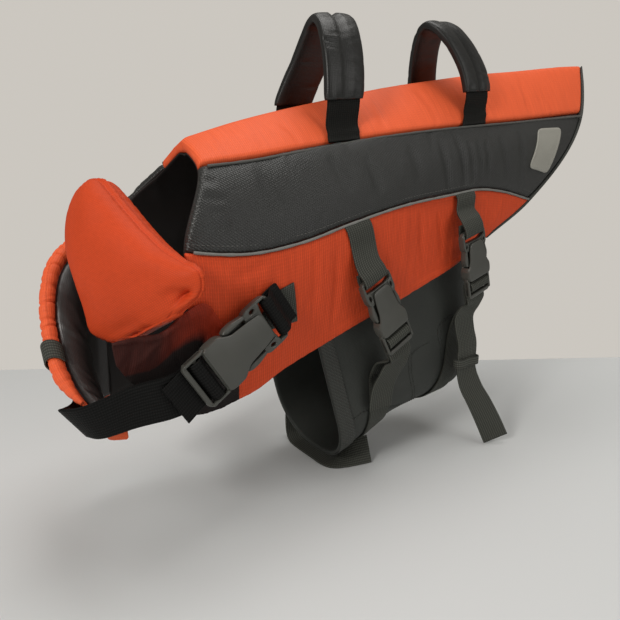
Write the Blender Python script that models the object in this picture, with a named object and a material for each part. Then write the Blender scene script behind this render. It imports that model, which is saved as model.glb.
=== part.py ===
"""Dog life jacket, buckled up and standing on its belly, as hollow as on a dog.

Lengths in the tables are millimetres; MM turns them into Blender's metres.
-X is the neck, +X the tail, -Y the dog's left, +Z up, and the jacket stands on Z = 0.
"""

import functools
import math

import bmesh
import bpy
import numpy as np
from mathutils import Matrix

MM = 0.001
GAP = 0.3  # clear space between neighbouring pieces
LEFT, RIGHT = -1, 1  # sign of Y on each side

# Seams along one side of the shell, front to rear: x, half width, height.
SPINE = [(-132, 0, 286), (-75, 0, 301), (0, 0, 317), (76, 0, 331), (152, 0, 343), (240, 0, 354), (344, 0, 366)]
TOP_SEAM = [(-134, 33, 271), (-96, 35, 275), (-54, 36, 281), (2, 36, 288), (56, 35, 294), (119, 33, 300),
            (207, 29, 307), (316, 24, 317)]
BAND_SEAM = [(-157, 58, 216), (-138, 60, 213), (-113, 61, 211), (-72, 62, 215), (-27, 61, 225), (27, 58, 235),
             (89, 53, 241), (131, 50, 244), (163, 47, 241), (213, 42, 231)]
LOW_EDGE = [(-163, 58, 106), (-136, 58, 106), (-112, 57, 110), (-87, 56, 120), (-53, 55, 131), (-28, 55, 139),
            (34, 54, 157), (66, 52, 166), (104, 50, 178), (151, 45, 201)]
SEAM_ROWS = (SPINE, TOP_SEAM, BAND_SEAM, LOW_EDGE)
SPINE_FOLD = 0.55  # 0 folds the top along the spine, 1 rounds it
FRONT_SHIFT = {RIGHT: (-14, 7, 6), LEFT: (0, 0, 0)}  # how the front lower corner of each side is drawn out
HEM_SHIFT = {RIGHT: (-16, 7, -27), LEFT: (13, 0, 0)}  # the same for the low edge
SHIFT_REACH = 0.35  # share of the length over which it dies away

# Walls.
FOAM = 6.5  # top panel and side bands
CLOTH = 2.4  # side panels, chest panel, belly panel
LINING = 1.0
LINING_GAP = 0.4
PUFF_TOP, PUFF_BAND, PUFF_SIDE = 1.6, 2.6, 1.0  # how far the filling swells each panel between its seams
ALONG = 23  # cells along a shell panel
TOP_CELLS, BAND_CELLS, SIDE_CELLS = 5, 4, 4  # cells from the spine to the top seam and between the seams below

# Chest panel, from its seam with the right side panel round to its free left end: points on the rim, at the
# inner end of the padded collar and on the low edge.
CHEST_ROWS = [
    ((-172, 65, 221), (-176, 65, 180), (-181, 64, 79)),
    ((-190, 61, 218), (-188, 62, 175), (-192, 60, 78)),
    ((-209, 49, 211), (-200, 50, 172), (-202, 50, 79)),
    ((-222, 37, 200), (-206, 38, 165), (-205, 37, 83)),
    ((-230, 25, 184), (-209, 27, 160), (-204, 20, 90)),
    ((-235, 8, 158), (-212, 8, 136), (-203, 2, 95)),
    ((-234, -22, 132), (-215, -20, 113), (-207, -22, 94)),
    ((-225, -46, 123), (-217, -42, 110), (-211, -42, 94)),
    ((-205, -56, 119), (-204, -54, 110), (-203, -52, 96)),
]
CHEST_ALONG = 34
RIM_RADIUS = 5.0
RIM_GATHERS = 25
RIM_GATHER_DEPTH = 0.4
PAD = 6.0  # padding of the chest lining at its middle
COLLAR_END = 0.45  # share of the chest panel that the padded collar takes

# Chin float, sections from its upper to its lower end: place along it, lower and upper edge, thickness, shift
# of the section towards its outer face.
FLOAT_ORIGIN = (-194, -15, 150)
FLOAT_ALONG = (0.08, -0.51, -0.857)
FLOAT_UP = (0.401, -0.856, 0.520)
FLOAT_ROWS = [
    (-108, 30, 37, 10, 0), (-102, 20, 43, 26, 0), (-90, 8, 49, 36, 1), (-68, -3, 60, 42, 2), (-44, -5, 75, 41, 4),
    (-24, -7, 91, 33, 6), (-12, -8, 102, 24, 7), (-3, 2, 99, 18, 6), (5, 24, 74, 10, 5),
]
FLOAT_SIDES = 18

# Float flap, outline on the left side: x, height.
FLAP_TOP = [(-211, 167), (-196, 168), (-180, 168), (-163, 179), (-150, 183), (-138, 168), (-124, 144)]
FLAP_LOW = [(-209, 152), (-198, 136), (-185, 127), (-172, 114), (-160, 105), (-144, 104), (-124, 108)]

# Belly panel, front to rear: x at the bottom, x at the sides' top, half width, height of the bottom, of the top.
BELLY_ROWS = [
    (-14, -50, 49, 12, 150), (4, -34, 50, 19, 153), (24, -8, 51, 29, 157), (44, 24, 50, 36, 164),
    (72, 62, 48, 40, 174), (128, 126, 43, 45, 195),
]
BELLY_TOP_WIDTH = 0.94  # the sides lean in above their widest place by this factor

# Webbing.
BELLY_WEB = 25
NECK_WEB = 30
HANDLE_WEB = 32
WEB_THICK = 1.6

# Handles: x of the left and the right foot, the loop above the top panel, and how far its top is turned about Z.
HANDLES = {
    "front": dict(feet=(-13, -16), turn=0.0, loop=[
        (-12, -33, 313), (-11, -32, 331), (-9.5, -28, 348), (-8, -22, 362), (-5.5, -13.5, 372.5), (-3.5, -5, 377),
        (-2, 3.5, 375), (-2.5, 11, 366), (-5, 20, 350), (-10, 28, 332), (-15, 33, 313)]),
    "rear": dict(feet=(139, 136), turn=0.17, loop=[
        (139, -32.5, 325), (137, -30, 341), (131, -24.5, 358), (123, -18, 372), (118, -10, 381), (116, -2, 384),
        (116, 5, 381), (118, 12, 372), (123, 20, 358), (130, 28, 341), (135, 32.5, 326)]),
}
HANDLE_CELLS = 26
SLEEVE_CELLS = 4  # cells of the loop that show below the sleeve on each side

COLOURS = {
    "orange": ((0.78, 0.13, 0.03), 0.75, 0.0),
    "orange_side": ((0.60, 0.085, 0.025), 0.75, 0.0),
    "twill": ((0.060, 0.065, 0.065), 0.6, 0.0),
    "lining": ((0.03, 0.033, 0.035), 0.75, 0.0),
    "charcoal": ((0.045, 0.047, 0.042), 0.7, 0.0),
    "web": ((0.055, 0.056, 0.05), 0.8, 0.0),
    "neck_web": ((0.018, 0.018, 0.018), 0.8, 0.0),
    "piping": ((0.18, 0.18, 0.165), 0.7, 0.0),
    "plastic": ((0.10, 0.105, 0.095), 0.4, 0.0),
    "reflective": ((0.42, 0.43, 0.40), 0.35, 0.2),
}


# ---------------------------------------------------------------- curves and surfaces

def hermite(rows, knots, t):
    """Points at t of the smooth curve that passes through the rows at the knots."""
    rows, knots = np.asarray(rows, float), np.asarray(knots, float)
    t = np.atleast_1d(np.asarray(t, float))
    slopes = np.gradient(rows, knots, axis=0)
    i = np.clip(np.searchsorted(knots, t, side="right") - 1, 0, len(knots) - 2)
    span = (knots[i + 1] - knots[i])[:, None]
    s = (t - knots[i])[:, None] / span
    return ((2 * s**3 - 3 * s**2 + 1) * rows[i] + (s**3 - 2 * s**2 + s) * span * slopes[i]
            + (3 * s**2 - 2 * s**3) * rows[i + 1] + (s**3 - s**2) * span * slopes[i + 1])


def curve(rows, t):
    """Points at t, from 0 to 1 by length, of the smooth curve through the rows."""
    rows = np.asarray(rows, float)
    steps = np.linalg.norm(np.diff(rows, axis=0), axis=1)
    knots = np.concatenate([[0.0], np.cumsum(steps)]) / steps.sum()
    return hermite(rows, knots, t)


def unit(vectors):
    vectors = np.asarray(vectors, float)
    return vectors / np.maximum(np.linalg.norm(vectors, axis=-1, keepdims=True), 1e-9)


@functools.lru_cache(maxsize=None)
def shell_point(side, u, v):
    """The shell's outer surface: u runs from the front (0) to the rear (1), v from the spine (0) over
    the top seam (1) and the band seam (2) to the low edge (3)."""
    crest, top, band, low = (curve(rows, u)[0] for rows in SEAM_ROWS)
    pull = max(0.0, 1 - u / SHIFT_REACH) ** 2
    band = band + pull * np.array(FRONT_SHIFT[side])
    low = low + pull * np.array(HEM_SHIFT[side])
    arch = np.array([top[0] - crest[0], top[1], 0.0])
    start = crest - SPINE_FOLD * arch - (1 - SPINE_FOLD) * (top - crest)
    rows = np.array([start, crest, top, band, low])
    steps = np.linalg.norm(np.diff(rows, axis=0), axis=1)
    knots = np.concatenate([[0.0], np.cumsum(steps)])
    i = min(int(v), 2)
    t = knots[i + 1] + (v - i) * (knots[i + 2] - knots[i + 1])
    point = hermite(rows, knots, t)[0]
    return point * (1, side, 1)


def shell_normal(side, u, v):
    """Outward direction of the shell at u, v. Near the rear low corner, where the low edge runs on into the
    rear edge, it is that of a spot further in."""
    small = 0.01
    u = min(u, 0.985 - 0.12 * max(0.0, v - 2.5))
    a, b = max(u - small, 0), min(u + small, 1)
    c, d = max(v - small, 0), min(v + small, 3)
    normal = np.cross(shell_point(side, b, v) - shell_point(side, a, v),
                      shell_point(side, u, d) - shell_point(side, u, c)) * side
    if v < small:
        normal[1] = 0
    return unit(normal)


def puff(u, v):
    """How far the filling lifts the outer face at u, v: nothing at a seam, most between two."""
    height = (PUFF_TOP, PUFF_BAND, PUFF_SIDE)[min(int(v), 2)]
    across = v - min(int(v), 2)
    rise = math.sin(math.pi * across) ** 0.6 if 0 < across < 1 else 0.0
    if v < 1:
        rise = math.sin(math.pi * (0.5 + 0.5 * across)) ** 0.6 if across < 1 else 0.0
    ends = min(1.0, 12 * u, 12 * (1 - u))
    return height * rise * ends**0.5 if ends > 0 else 0.0


def wall_depth(v):
    """Depth of the shell's inner face under its surface at v: foam above, plain cloth below the band."""
    blend = min(max((v - 1.75) / 0.5, 0), 1)
    blend = blend * blend * (3 - 2 * blend)
    return FOAM + (CLOTH - FOAM) * blend + 3 * max(0.0, 1 - v / 0.25)


def lining_depth(v):
    """Depth of the lining's outer face."""
    return wall_depth(v) + LINING_GAP + 1.5 * max(0.0, 1 - v / 0.25)


def on_shell(side, u, v, lift):
    """Point `lift` above the swollen outer face at u, v."""
    return shell_point(side, u, v) + shell_normal(side, u, v) * (puff(u, v) + lift)


def shell_uv(side, x, z, v_from=1.0, v_to=3.0):
    """u and v of the shell's point at that x and height, found on the lower panels."""
    best, found = 1e9, (0, 0)
    for v in np.linspace(v_from, v_to, 13):
        for u in np.linspace(0, 1, 21):
            p = shell_point(side, u, v)
            off = (p[0] - x) ** 2 + (p[2] - z) ** 2
            if off < best:
                best, found = off, (u, v)
    u, v = found
    step_u, step_v = 1 / 20, (v_to - v_from) / 12
    for _ in range(7):
        step_u, step_v = step_u / 2, step_v / 2
        options = [(min(max(u + i * step_u, 0), 1), min(max(v + j * step_v, v_from), v_to))
                   for i in (-1, 0, 1) for j in (-1, 0, 1)]
        u, v = min(options, key=lambda o: sum((shell_point(side, *o) - (x, 0, z))[[0, 2]] ** 2))
    return u, v


# ---------------------------------------------------------------- meshes

def material(name):
    found = bpy.data.materials.get(name)
    if found:
        return found
    colour, roughness, metallic = COLOURS[name]
    made = bpy.data.materials.new(name)
    made.use_nodes = True
    shader = made.node_tree.nodes["Principled BSDF"]
    shader.inputs["Base Color"].default_value = (*colour, 1)
    shader.inputs["Roughness"].default_value = roughness
    shader.inputs["Metallic"].default_value = metallic
    made.diffuse_color = (*colour, 1)
    return made


def place(name, verts, faces, slot, smooth=True):
    """Object from points in millimetres and faces, with its normals turned outward."""
    mesh = bpy.data.meshes.new(name)
    mesh.from_pydata([tuple(float(c) * MM for c in v) for v in verts], [], faces)
    cage = bmesh.new()
    cage.from_mesh(mesh)
    bmesh.ops.recalc_face_normals(cage, faces=cage.faces)
    if cage.calc_volume(signed=True) < 0:
        bmesh.ops.reverse_faces(cage, faces=cage.faces)
    cage.to_mesh(mesh)
    cage.free()
    if smooth:
        mesh.shade_smooth()
        mesh.set_sharp_from_angle(angle=math.radians(40))
    mesh.materials.append(material(slot))
    obj = bpy.data.objects.new(name, mesh)
    part.objects.link(obj)
    return obj


def wall(name, outer, inner, slot):
    """Closed wall between two grids of points with the same rows and columns."""
    rows, cols = len(outer), len(outer[0])
    verts = [p for row in outer for p in row] + [p for row in inner for p in row]
    back = rows * cols
    faces = []
    for i in range(rows - 1):
        for j in range(cols - 1):
            a, b, c, d = i * cols + j, i * cols + j + 1, (i + 1) * cols + j + 1, (i + 1) * cols + j
            faces += [(a, b, c), (a, c, d), (back + c, back + b, back + a), (back + d, back + c, back + a)]
    ring = ([j for j in range(cols)] + [i * cols + cols - 1 for i in range(1, rows)]
            + [(rows - 1) * cols + j for j in range(cols - 2, -1, -1)] + [i * cols for i in range(rows - 2, 0, -1)])
    for k, a in enumerate(ring):
        b = ring[(k + 1) % len(ring)]
        faces += [(b, a, back + a), (b, back + a, back + b)]
    return place(name, verts, faces, slot)


def tube(name, rings, slot):
    """Closed body through rings of points, with both ends filled."""
    n = len(rings[0])
    verts = [p for ring in rings for p in ring]
    faces = []
    for i in range(len(rings) - 1):
        for j in range(n):
            a, b, c, d = i * n + j, i * n + (j + 1) % n, (i + 1) * n + (j + 1) % n, (i + 1) * n + j
            faces += [(a, b, d), (b, c, d)] if j < n / 2 else [(a, b, c), (a, c, d)]
    faces.append(tuple(range(n)))
    faces.append(tuple(reversed(range((len(rings) - 1) * n, len(rings) * n))))
    return place(name, verts, faces, slot)


def frames(path, across):
    """Side and normal directions along a path, from a rough side direction at each point."""
    path = np.asarray(path, float)
    along = unit(np.gradient(path, axis=0))
    across = np.asarray(across, float)
    across = unit(across - (across * along).sum(axis=1, keepdims=True) * along)
    return across, np.cross(along, across)


def ribbon(name, path, across, width, slot, thick=WEB_THICK):
    """Flat webbing: a rectangle of that width and thickness swept along the path."""
    side = unit(across)
    normal = unit(np.cross(np.gradient(np.asarray(path, float), axis=0), side))
    half = np.broadcast_to(np.asarray(width, float), (len(path),)) / 2
    rings = [[p + s * w + n * thick / 2, p + s * w - n * thick / 2, p - s * w - n * thick / 2, p - s * w + n * thick / 2]
             for p, s, n, w in zip(np.asarray(path, float), side, normal, half)]
    return tube(name, rings, slot)


def cord(name, path, radius, slot, sides=6):
    """Round piping along a path; radius may differ from point to point."""
    path = np.asarray(path, float)
    side, normal = frames(path, np.tile((0.01, 0.02, 1.0), (len(path), 1)))
    radii = np.broadcast_to(np.asarray(radius, float), (len(path),))
    turns = [2 * math.pi * k / sides for k in range(sides)]
    rings = [[p + r * (math.cos(a) * s + math.sin(a) * n) for a in turns]
             for p, s, n, r in zip(path, side, normal, radii)]
    return tube(name, rings, slot)


# ---------------------------------------------------------------- the shell

def columns(v_low, v_high, cells, side=RIGHT):
    """Rows of v between two seams, in the order that the lining takes on that side."""
    edge = GAP / 2 / 50
    vs = np.linspace(v_low + edge, v_high - edge, cells + 1)
    return [(side, float(v)) for v in (vs if side == RIGHT else vs[::-1])]


def under_ridge(side, v, point):
    """The point, kept on its own side of the spine's plane where the two slopes of the top meet."""
    clear = min(2.4, 12 * v)
    return np.array([point[0], side * max(side * point[1], clear), point[2]])


def shell_layer(spots, us, depth):
    """Grid on the shell; depth(v) is how far inside its surface, or None for the swollen outer face."""
    if depth is None:
        return [[on_shell(side, u, v, 0) for side, v in spots] for u in us]
    return [[under_ridge(side, v, on_shell(side, u, v, -puff(u, v) - depth(v))) for side, v in spots] for u in us]


def shell_panel(name, spots, slot):
    """One panel of the shell, swollen outside and even inside."""
    us = [float(u) for u in np.linspace(0, 1, ALONG + 1)]
    return wall(name, shell_layer(spots, us, None), shell_layer(spots, us, wall_depth), slot)


def over_spine():
    return columns(0, 1, TOP_CELLS, LEFT)[:-1] + [(RIGHT, 0.0)] + columns(0, 1, TOP_CELLS, RIGHT)[1:]


def all_round():
    """Rows of v over the whole shell, from the left low edge to the right one."""
    spots = over_spine()
    for side in (LEFT, RIGHT):
        lower = [columns(1, 2, BAND_CELLS, side), columns(2, 3, SIDE_CELLS, side)]
        spots = lower[1] + lower[0] + spots if side == LEFT else spots + lower[0] + lower[1]
    return spots


def lining():
    """The lining under all the panels, from low edge to low edge."""
    us, spots = [float(u) for u in np.linspace(0, 1, ALONG + 1)], all_round()
    outer = shell_layer(spots, us, lining_depth)
    inner = shell_layer(spots, us, lambda v: lining_depth(v) + LINING)
    return wall("lining", outer, inner, "lining")


def piping(name, side, v):
    path = [shell_point(side, float(u), v) + shell_normal(side, float(u), v) * 1.9 for u in np.linspace(0, 1, 21)]
    return cord(name, path, 1.5, "piping")


def rear_binding():
    """Tape round the rear edge of the panels, from one low tip over the spine to the other."""
    spots = [(side, v) for side, v in all_round() if v == 0 or v > 0.3]
    edge = [shell_point(side, 1.0, v) for side, v in spots]
    run = unit(np.gradient(np.array(edge), axis=0))
    rings = []
    for (side, v), point, direction in zip(spots, edge, run):
        normal = shell_normal(side, 1.0, v)
        back = unit(np.cross(direction, normal))
        back = back * math.copysign(1, back[0])
        depth = lining_depth(v) + LINING if v else 1.45 * FOAM
        start, end = point + back * 4 * GAP, point + back * (4 * GAP + 2.0)
        rings.append([start + normal * 0.4, end + normal * 0.4, end - normal * depth, start - normal * depth])
    return tube("rear_binding", rings[::-1], "twill")


def reflective_patch(side, suffix):
    """Plain reflective patch near the rear of the band."""
    grid = [[(0.825 + 0.07 * k + (0.095 - 0.01 * k) * j, 1.17 + 0.53 * k) for k in np.linspace(0, 1, 5)]
            for j in np.linspace(0, 1, 4)]
    outer = [[on_shell(side, u, v, GAP + 1.2) for u, v in row] for row in grid]
    inner = [[on_shell(side, u, v, GAP + 0.3) for u, v in row] for row in grid]
    return wall("reflective_patch_" + suffix, outer, inner, "reflective")


# ---------------------------------------------------------------- neck and chest

@functools.lru_cache(maxsize=None)
def chest_point(s, t):
    """The chest panel's outer surface: s runs round it from the right seam, t from the rim to the low edge."""
    rows = [curve([row[k] for row in CHEST_ROWS], s)[0] for k in range(3)]
    return hermite(rows, [0, 0.45, 1], t)[0]


def chest_out(s, t=0.0):
    """Outward direction of the chest panel at s and t."""
    small = 0.01
    round_it = chest_point(min(s + small, 1), t) - chest_point(max(s - small, 0), t)
    down = chest_point(s, min(t + small, 1)) - chest_point(s, max(t - small, 0))
    return unit(np.cross(down, round_it))


@functools.lru_cache(maxsize=None)
def chest_t(s, distance):
    """t at that distance from the rim's front line, along the panel."""
    ts = np.linspace(0, 1, 41)
    points = np.array([chest_point(s, float(t)) for t in ts])
    run = np.concatenate([[0.0], np.cumsum(np.linalg.norm(np.diff(points, axis=0), axis=1))])
    return float(np.interp(distance, run, ts))


def chest_layer(depth, ss, shares, start):
    """Grid inside the chest panel's outer surface, from the distance `start` behind the rim's front line to
    its low edge; depth depends on the share of the way and on s."""
    grid = []
    for s in ss:
        first = chest_t(s, start)
        ts = [float(first + (1 - first) * share) for share in shares]
        grid.append([chest_point(s, t) - chest_out(s, t) * depth(share, s) for t, share in zip(ts, shares)])
    return grid


def chest_panel():
    ss, shares = np.linspace(0.015, 1, CHEST_ALONG + 1).tolist(), np.linspace(0, 1, 6).tolist()
    start = 2 * RIM_RADIUS + 4 * GAP
    return wall("chest_panel", chest_layer(lambda share, s: 0, ss, shares, start),
                chest_layer(lambda share, s: CLOTH, ss, shares, start), "orange")


def chest_lining():
    """Padded lining inside the chest panel, fattest near the rim."""
    ss = np.linspace(0.018, 0.97, CHEST_ALONG + 1).tolist()
    shares = [0.0, 0.08, 0.17, 0.26, 0.36, 0.46, 0.72, 0.97]
    start = 2 * RIM_RADIUS + 4 * GAP

    def padding(share, s):
        roll = math.sin(math.pi * share / COLLAR_END) ** 0.7 if share < COLLAR_END else 0.0
        taper = min(1.0, 8 * (1 - s), 8 * s)
        return CLOTH + 2 * GAP + LINING + 0.6 + PAD * roll * taper

    outer = chest_layer(lambda share, s: CLOTH + 2 * GAP, ss, shares, start)
    return wall("chest_lining", outer, chest_layer(padding, ss, shares, start), "lining")


def rim_middle(s):
    """Middle of the gathered rim at s, along the chest panel's front line."""
    t = chest_t(s, RIM_RADIUS)
    return chest_point(s, t) - chest_out(s, t) * CLOTH / 2


def chest_rim():
    """Gathered tube of cloth along the panel's front edge."""
    ss = np.linspace(0.012, 0.85, 2 * RIM_GATHERS + 1).tolist()
    radii = [(RIM_RADIUS + RIM_GATHER_DEPTH * (0 if k % 2 else -1)) * min(1.0, 0.3 + 6 * (0.85 - s))
             for k, s in enumerate(ss)]
    return cord("chest_rim", [rim_middle(s) for s in ss], radii, "orange", sides=7)


def chin_float():
    """Pillow through rounded sections across its length."""
    along, up = unit(FLOAT_ALONG), unit(FLOAT_UP)
    out = np.cross(along, up)
    places = np.linspace(0, 1, 17)
    rows = curve(FLOAT_ROWS, places)
    rings = []
    for place_along, low, high, thick, shift in rows:
        middle = np.array(FLOAT_ORIGIN) + along * place_along + up * (low + high) / 2 + out * shift
        ring = []
        for k in range(FLOAT_SIDES):
            a = 2 * math.pi * k / FLOAT_SIDES
            across = math.copysign(abs(math.cos(a)) ** 0.75, math.cos(a)) * (high - low) / 2
            depth = math.copysign(abs(math.sin(a)) ** 0.85, math.sin(a)) * thick / 2
            ring.append(middle + up * across + out * depth)
        rings.append(ring)
    return tube("chin_float", rings, "orange")


def left_lift(x, z, lift):
    """Point that far outside the left side panel at that x and height; ahead of the panel it goes straight on."""
    front = shell_point(LEFT, 0, 2.5)[0] + 4
    u, v = shell_uv(LEFT, max(x, front), z, 2.0, 3.0)
    p = shell_point(LEFT, u, v) + shell_normal(LEFT, u, v) * (puff(u, v) + lift)
    return np.array([x, p[1], z])


def float_flap():
    ts, rows = np.linspace(0, 1, 13), np.linspace(0, 1, 5)
    top, low = curve(FLAP_TOP, ts), curve(FLAP_LOW, ts)

    def layer(lift):
        return [[left_lift(*(a + (b - a) * r), lift) for r in rows] for a, b in zip(top, low)]

    return wall("float_flap", layer(GAP + 2.6), layer(GAP + 0.6), "orange")


# ---------------------------------------------------------------- belly

def belly_point(s, w):
    """The belly panel's outer surface: s from the front (0) to the rear (1), w from the left top (-1)
    round the bottom (0) to the right top (1)."""
    x_low, x_top, half, z_low, z_top = curve(BELLY_ROWS, s)[0]
    side, turn = math.copysign(1, w), abs(w)
    round_part = 0.55  # share of a side that the rounded bottom takes
    if turn < round_part:
        a = turn / round_part * math.pi / 2
        y, z = half * math.sin(a) ** 0.9, z_low + 42 * (1 - math.cos(a)) ** 1.15
    else:
        k = (turn - round_part) / (1 - round_part)
        y, z = half * (1 + (BELLY_TOP_WIDTH - 1) * k), z_low + 42 + (z_top - z_low - 42) * k
    share = (z - z_low) / (z_top - z_low)
    return np.array([x_low + (x_top - x_low) * share, side * y, z])


def belly_normal(s, w):
    small = 0.01
    a = belly_point(min(s + small, 1), w) - belly_point(max(s - small, 0), w)
    b = belly_point(s, min(w + small, 1)) - belly_point(s, max(w - small, -1))
    return unit(np.cross(b, a))


def belly_layer(lift, ss, ws):
    return [[belly_point(s, w) + belly_normal(s, w) * lift for w in ws] for s in ss]


def belly_panel():
    ss, ws = np.linspace(0, 1, 11), np.linspace(-1, 1, 31)
    return wall("belly_panel", belly_layer(0, ss, ws), belly_layer(-CLOTH, ss, ws), "charcoal")


def belly_binding():
    ss, ws = np.linspace(0.0, 0.085, 3), np.linspace(-0.98, 0.98, 31)
    return wall("belly_binding", belly_layer(GAP + 1.0, ss, ws), belly_layer(GAP, ss, ws), "web")


# ---------------------------------------------------------------- buckles

LADDER = 17.5  # length of the ladder lock at the female half's end
END_BAR, SLOT, GRIP_BAR = 3.5, 5.0, 3.0
BUCKLE_SHOULDER = 2.9  # body's width beyond the webbing, each side
BODY_THICK, PLATE_THICK, TONGUE_THICK, CAVITY_THICK = 9.0, 4.0, 4.4, 5.4
WINDOW_START, BODY_WALL = 0.45, 2.2
MALE_SLOT = 6.5

# Each buckle: webbing, length of the female body and of the whole, ladder end, male end, face direction.
BUCKLES = {
    "neck": dict(web=NECK_WEB, body=37, length=76, ladder=(-166, -81, 132), male=(-101, -75, 171), face=(-0.1, -1, 0.05)),
    "front": dict(web=BELLY_WEB, body=30, length=66, ladder=(16, -76, 125), male=(-11, -69, 187), face=(0.1, -1, 0)),
    "rear": dict(web=BELLY_WEB, body=28, length=61, ladder=(118, -67, 153), male=(104, -66, 211), face=(0.1, -1, 0)),
}


def buckle_frame(buckle):
    """Origin at the ladder end; Y towards the male end, Z out of the face, X across, in millimetres."""
    origin = np.array(buckle["ladder"], float)
    along = unit(np.array(buckle["male"]) - origin)
    face = np.array(buckle["face"], float)
    face = unit(face - face.dot(along) * along)
    return origin, np.cross(along, face), along, face


def in_frame(frame, x, y, z):
    origin, across, along, face = frame
    return origin + across * x + along * y + face * z


def mirrored(half):
    """Outline from the points of its right half, top to bottom."""
    return half + [(-x, y) for x, y in reversed(half)]


def box_outline(half, y0, y1):
    return [(half, y0), (half, y1), (-half, y1), (-half, y0)]


def plate(name, outlines, thick, frame, slot, collection=None):
    """Plate of that thickness in a buckle's frame: the first outline filled, the others open."""
    data = bpy.data.curves.new(name, "CURVE")
    data.dimensions = "2D"
    data.fill_mode = "BOTH"
    data.extrude = thick / 2 * MM
    for points in outlines:
        line = data.splines.new("POLY")
        line.points.add(len(points) - 1)
        for spot, (x, y) in zip(line.points, points):
            spot.co = (x * MM, y * MM, 0, 1)
        line.use_cyclic_u = True
    flat = bpy.data.objects.new(name + "_outline", data)
    part.objects.link(flat)
    bpy.context.view_layer.update()
    mesh = bpy.data.meshes.new_from_object(flat.evaluated_get(bpy.context.evaluated_depsgraph_get()))
    bpy.data.objects.remove(flat)
    cage = bmesh.new()
    cage.from_mesh(mesh)
    bmesh.ops.remove_doubles(cage, verts=cage.verts, dist=0.00001)
    bmesh.ops.recalc_face_normals(cage, faces=cage.faces)
    cage.to_mesh(mesh)
    cage.free()
    mesh.materials.clear()
    mesh.materials.append(material(slot))
    mesh.name = name
    obj = bpy.data.objects.new(name, mesh)
    (collection or part).objects.link(obj)
    origin, across, along, face = frame
    obj.matrix_world = Matrix([[*(float(c[i]) for c in (across, along, face)), float(origin[i]) * MM] for i in range(3)]
                              + [[0, 0, 0, 1]])
    if collection:
        obj.hide_render = True
        obj.display_type = "WIRE"
    return obj


def combine(obj, other, operation):
    modifier = obj.modifiers.new(operation.title(), "BOOLEAN")
    modifier.operation = operation
    modifier.object = other


def female_half(name, buckle, frame):
    """Body with a cavity and two side windows, and a ladder lock with two slots at its end."""
    half = buckle["web"] / 2 + BUCKLE_SHOULDER
    body, start = buckle["body"], LADDER - 0.5
    end = LADDER + body
    low, tip = LADDER + WINDOW_START * body, buckle["length"] - 3.5 - MALE_SLOT - 1
    sides = [(0.42 * half, tip), (0.52 * half, tip - 1.5), (0.6 * half, end), (0.72 * half, low + 4),
             (half - 1.8, low), (half, low - 2), (half, start + 3), (half - 2.5, start)]
    obj = plate(name, [mirrored(sides)], BODY_THICK, frame, "plastic")
    lock_half = half
    lock = mirrored([(lock_half, LADDER + 1), (lock_half, 2), (lock_half - 2, 0)])
    slot_half = buckle["web"] / 2 + 0.9
    slots = [box_outline(slot_half, END_BAR, END_BAR + SLOT),
             box_outline(slot_half, END_BAR + SLOT + GRIP_BAR, END_BAR + 2 * SLOT + GRIP_BAR)]
    combine(obj, plate(name + "_lock", [lock, *slots], PLATE_THICK, frame, "plastic", cutters), "UNION")
    hollow = plate(name + "_cavity", [box_outline(half - BODY_WALL, LADDER + 4, tip + 1)], CAVITY_THICK, frame,
                   "plastic", cutters)
    combine(obj, hollow, "DIFFERENCE")
    return obj


def male_half(name, buckle, frame):
    """Frame with a slot for the webbing; its tongue and two sprung arms reach into the female body."""
    half = buckle["web"] / 2 + BUCKLE_SHOULDER
    body, top = buckle["body"], buckle["length"]
    end = LADDER + body
    low = LADDER + WINDOW_START * body
    inner = half - BODY_WALL - 0.6
    sides = [(half - 2, top), (half, top - 2), (half, end), (inner, end - 2), (half - 0.9, end - 4),
             (half - 0.6, low + 2.5), (inner, low + 0.6), (half - 5.4, low + 0.6), (half - 5.8, low + 3),
             (half - 6.4, end - 3), (3.6, end - 3), (3, end - 0.5 * body)]
    slot = box_outline(buckle["web"] / 2 + 0.9, top - 3.5 - MALE_SLOT, top - 3.5)
    return plate(name, [mirrored(sides), slot], TONGUE_THICK, frame, "plastic")


# Webbing through the ladder lock, in the buckle's frame: place along it, height off its middle.
LOADED = [(4, -6.3), (10, -5.9), (13, -4.4), (14, -2), (14, 0.5), (13, 2.6), (10, 3.5), (7.2, 2.6), (6.1, 0.5),
          (5.6, -1.6), (4.2, -3.1), (2, -3.4), (-3, -3.3)]
# Webbing round the bar of the male half, measured from the male end.
ROUND_BAR = [(8, 1.3), (2, 3.5), (-1.75, 3.7), (-4.0, 3.4), (-5.3, 1.6), (-5.5, 0), (-5.3, -1.6), (-4.0, -3.4),
             (-1.75, -3.7), (2, -3.4), (6, -2.6)]


def frame_path(frame, rows, start=0.0):
    points = [in_frame(frame, 0, start + y, z) for y, z in rows]
    return points, [frame[1]] * len(points)


# ---------------------------------------------------------------- straps

def u_at(side, x, v):
    """The shell's u at that x and v."""
    low, high = 0.0, 1.0
    for _ in range(18):
        middle = (low + high) / 2
        low, high = (middle, high) if shell_point(side, middle, v)[0] < x else (low, middle)
    return (low + high) / 2


def shell_path(side, rows, lift=1.7):
    """Path on the shell's lower panels through rows of x and v, with the direction across it."""
    points, across = [], []
    for x, v in rows:
        u = u_at(side, x, v)
        points.append(on_shell(side, u, v, lift))
        across.append(unit(shell_point(side, min(u + 0.02, 1), v) - shell_point(side, max(u - 0.02, 0), v)))
    return points, across


BELLY_STRAP_END = -0.66  # where on the belly's left side a strap leaves it


def s_at(x, w):
    """The belly panel's s at that x and w."""
    low, high = 0.0, 1.0
    for _ in range(18):
        middle = (low + high) / 2
        low, high = (middle, high) if belly_point(middle, w)[0] < x else (low, middle)
    return (low + high) / 2


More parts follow.
